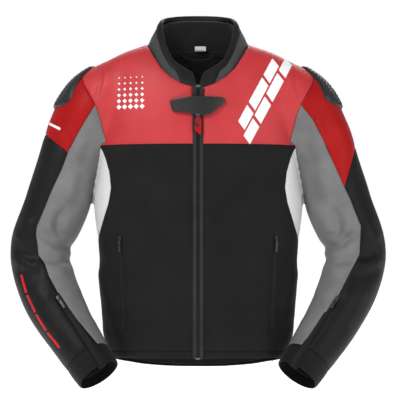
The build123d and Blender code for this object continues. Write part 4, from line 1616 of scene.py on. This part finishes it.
def bend_at_elbow(obj):
    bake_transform(obj)


for side, sign in SIDES:
    for part, (slot, nodes) in arm_names(side).items():
        made = [finish_with(panel(f"{part}_{side}", f"{part}_{side}_skin"), slot, None, nodes),
                finish_with(panel_stitching(f"{part}_{side}", f"{part}_{side}_stitching"), slot)]
        for obj in made:
            if part == "cuff":
                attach(obj, "forearm_" + side)
            elif part.startswith("lower"):
                bend_at_elbow(obj)
            else:
                bend_at_shoulder(obj)


# ---- Generic graphics ----------------------------------------------------
PATCH_CENTRE = np.array([-136, -107.0])
PATCH_PITCH = 12.0


def diamond_patch():
    """A square lattice of diamonds that shrink towards the top."""
    shapes = []
    for row in range(6):
        half = 5.2 - 0.7 * row
        for column in range(5):
            x = PATCH_CENTRE[0] + (column - 2) * PATCH_PITCH
            z = PATCH_CENTRE[1] + (row - 2.5) * PATCH_PITCH
            shapes.append([(x - half, z), (x, z - half), (x + half, z), (x, z + half)])
    return shapes


def make_graphics():
    """Plain shapes only: a patch of diamonds, slanted blocks and stripes."""
    x, z = PATCH_CENTRE
    around = ((x - 42, z - 42), (x + 42, z + 42))
    obj = print_on("chest_diamond_print", ["chest_yoke_right"], polygon_field(*diamond_patch()), around, 2)
    finish_with(obj, "white_print", "torso")
    # two staggered columns of slanted blocks down the other side of the chest
    start, run, aside = np.array([173, -41.0]), np.array([-0.476, -0.880]), np.array([0.880, -0.476])
    angle = np.degrees(np.arctan2(run[1], run[0]))
    blocks = []
    for offset, rows in ((-11.5, ((30, 42), (86, 58), (141, 38))),
                         (11.5, ((8, 34), (57, 50), (111, 44), (160, 40)))):
        for at, length in rows:
            c = start + run * at + aside * offset
            blocks.append(bar(c[0], c[1], length, 19.5, angle, 9))
    obj = print_on("chest_block_print", ["chest_yoke_left"], polygon_field(*blocks),
                   ((40, -214), (215, -5)), 1)
    finish_with(obj, "white_print", "torso")
    # one stripe on the right upper sleeve and a broken red stripe down the right forearm
    obj = print_on("sleeve_stripe_print", ["sleeve_head_right", "upper_outer_right"],
                   polygon_field(bar(-296, -173, 30, 5, -27)), ((-325, -215), (-262, -145)), 2)
    finish_with(obj, "white_print", None)
    bend_at_shoulder(obj)
    line = np.array([(-362, -478), (-352, -508), (-336, -540), (-315, -574), (-292, -602), (-272, -622)],
                    float)
    run = np.concatenate([[0], np.cumsum(np.hypot(*np.diff(line, axis=0).T))])
    stretch, gap = 38.0, 5.0
    stripes = []
    for at in np.arange(0, run[-1] - stretch, stretch + gap):
        ends = np.stack([np.interp([at, at + stretch], run, line[:, i]) for i in (0, 1)], 1)
        x, z = ends.mean(0)
        dx, dz = ends[1] - ends[0]
        stripes.append(bar(x, z, np.hypot(dx, dz), 5.0, np.degrees(np.arctan2(dz, dx))))
    obj = print_on("forearm_stripe_print", ["lower_outer_right"], polygon_field(*stripes),
                   ((-380, -640), (-255, -465)), 1)
    finish_with(obj, "red_print", None)
    bend_at_elbow(obj)


# ---- Putting it together -------------------------------------------------
form_tree = BVHTree.FromPolygons(form_points.tolist(), form_tris.tolist())
make_collar()
make_front_zip()
for side, sign in SIDES:
    make_track_zip("pocket", POCKET_TRACK, "torso", f"pocket_slider_{side}", f"pocket_pull_{side}", side,
                   sign)
    make_track_zip("cuff", CUFF_TRACK, f"forearm_{side}", f"cuff_slider_{side}", f"cuff_pull_{side}", side,
                   sign)
    make_armour(side, sign)
make_badge()
make_lining()
make_neck_details()
make_graphics()
LEFT_AS_CAD = {"back_protector": "protector_foam", "waist_zip": "zip_chain"}
for side, _ in SIDES:
    LEFT_AS_CAD.update({f"pocket_bag_{side}": "lining_mesh", f"shoulder_protector_{side}": "protector_foam",
                        f"elbow_protector_{side}": "protector_foam"})
for node, slot in LEFT_AS_CAD.items():
    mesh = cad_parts[node].data
    mesh.materials.clear()
    mesh.materials.append(FINISHES[slot].mat)


# ---- Camera, light and floor ---------------------------------------------
def aim(obj, target):
    obj.rotation_euler = (Vector(target) - obj.location).to_track_quat("-Z", "Y").to_euler()


camera = bpy.data.objects.new("camera", bpy.data.cameras.new("camera"))
bpy.context.scene.collection.objects.link(camera)
camera.location = (0.004, -2.2, -0.325)
camera.rotation_euler = (pi / 2, 0, 0)
camera.data.sensor_width = 36
camera.data.lens = 36 * 2.2 / 0.84
bpy.context.scene.camera = camera

floor = new_object("studio_floor", [(-9000, -9000, -1100), (9000, -9000, -1100), (9000, 9000, -1100),
                                    (-9000, 9000, -1100)], [(0, 1, 2, 3)])
paper = Finish("studio_paper", rough=0.9, specular=0.1)
white = paper.colour((0.0, 248, 248, 248), (1.0, 254, 254, 254), by=paper.noise(2.0))
paper.paint(white)
paper.link(white, paper.shader.inputs["Emission Color"])
paper.set("Emission Strength", 0.62)
floor.data.materials.append(paper.mat)

world = bpy.data.worlds.new("studio")
bpy.context.scene.world = world
world.use_nodes = True
backdrop = world.node_tree.nodes["Background"]
backdrop.inputs["Color"].default_value = (1, 1, 1, 1)
ambient = world.node_tree.nodes.new("ShaderNodeBackground")
ambient.inputs["Color"].default_value = (1, 1, 1, 1)
ambient.inputs["Strength"].default_value = 0.5
seen = world.node_tree.nodes.new("ShaderNodeLightPath")
choice = world.node_tree.nodes.new("ShaderNodeMixShader")
world.node_tree.links.new(seen.outputs["Is Camera Ray"], choice.inputs[0])
world.node_tree.links.new(ambient.outputs[0], choice.inputs[1])
world.node_tree.links.new(backdrop.outputs[0], choice.inputs[2])
world.node_tree.links.new(choice.outputs[0], world.node_tree.nodes["World Output"].inputs[0])
bpy.context.scene.view_settings.view_transform = "Standard"


def soft_light(name, place, target, size, power):
    lamp = bpy.data.lights.new(name, "AREA")
    lamp.shape, lamp.size, lamp.size_y, lamp.energy = "RECTANGLE", size[0], size[1], power
    obj = bpy.data.objects.new(name, lamp)
    bpy.context.scene.collection.objects.link(obj)
    obj.location = place
    aim(obj, target)


soft_light("key", (-1.3, -2.0, 1.3), (0, 0, -0.3), (1.1, 1.1), 46)
soft_light("fill", (1.8, -1.8, 0.2), (0, 0, -0.3), (1.4, 1.6), 17)
soft_light("rim", (0.2, 1.8, 1.2), (0, 0, -0.3), (1.6, 1.0), 22)
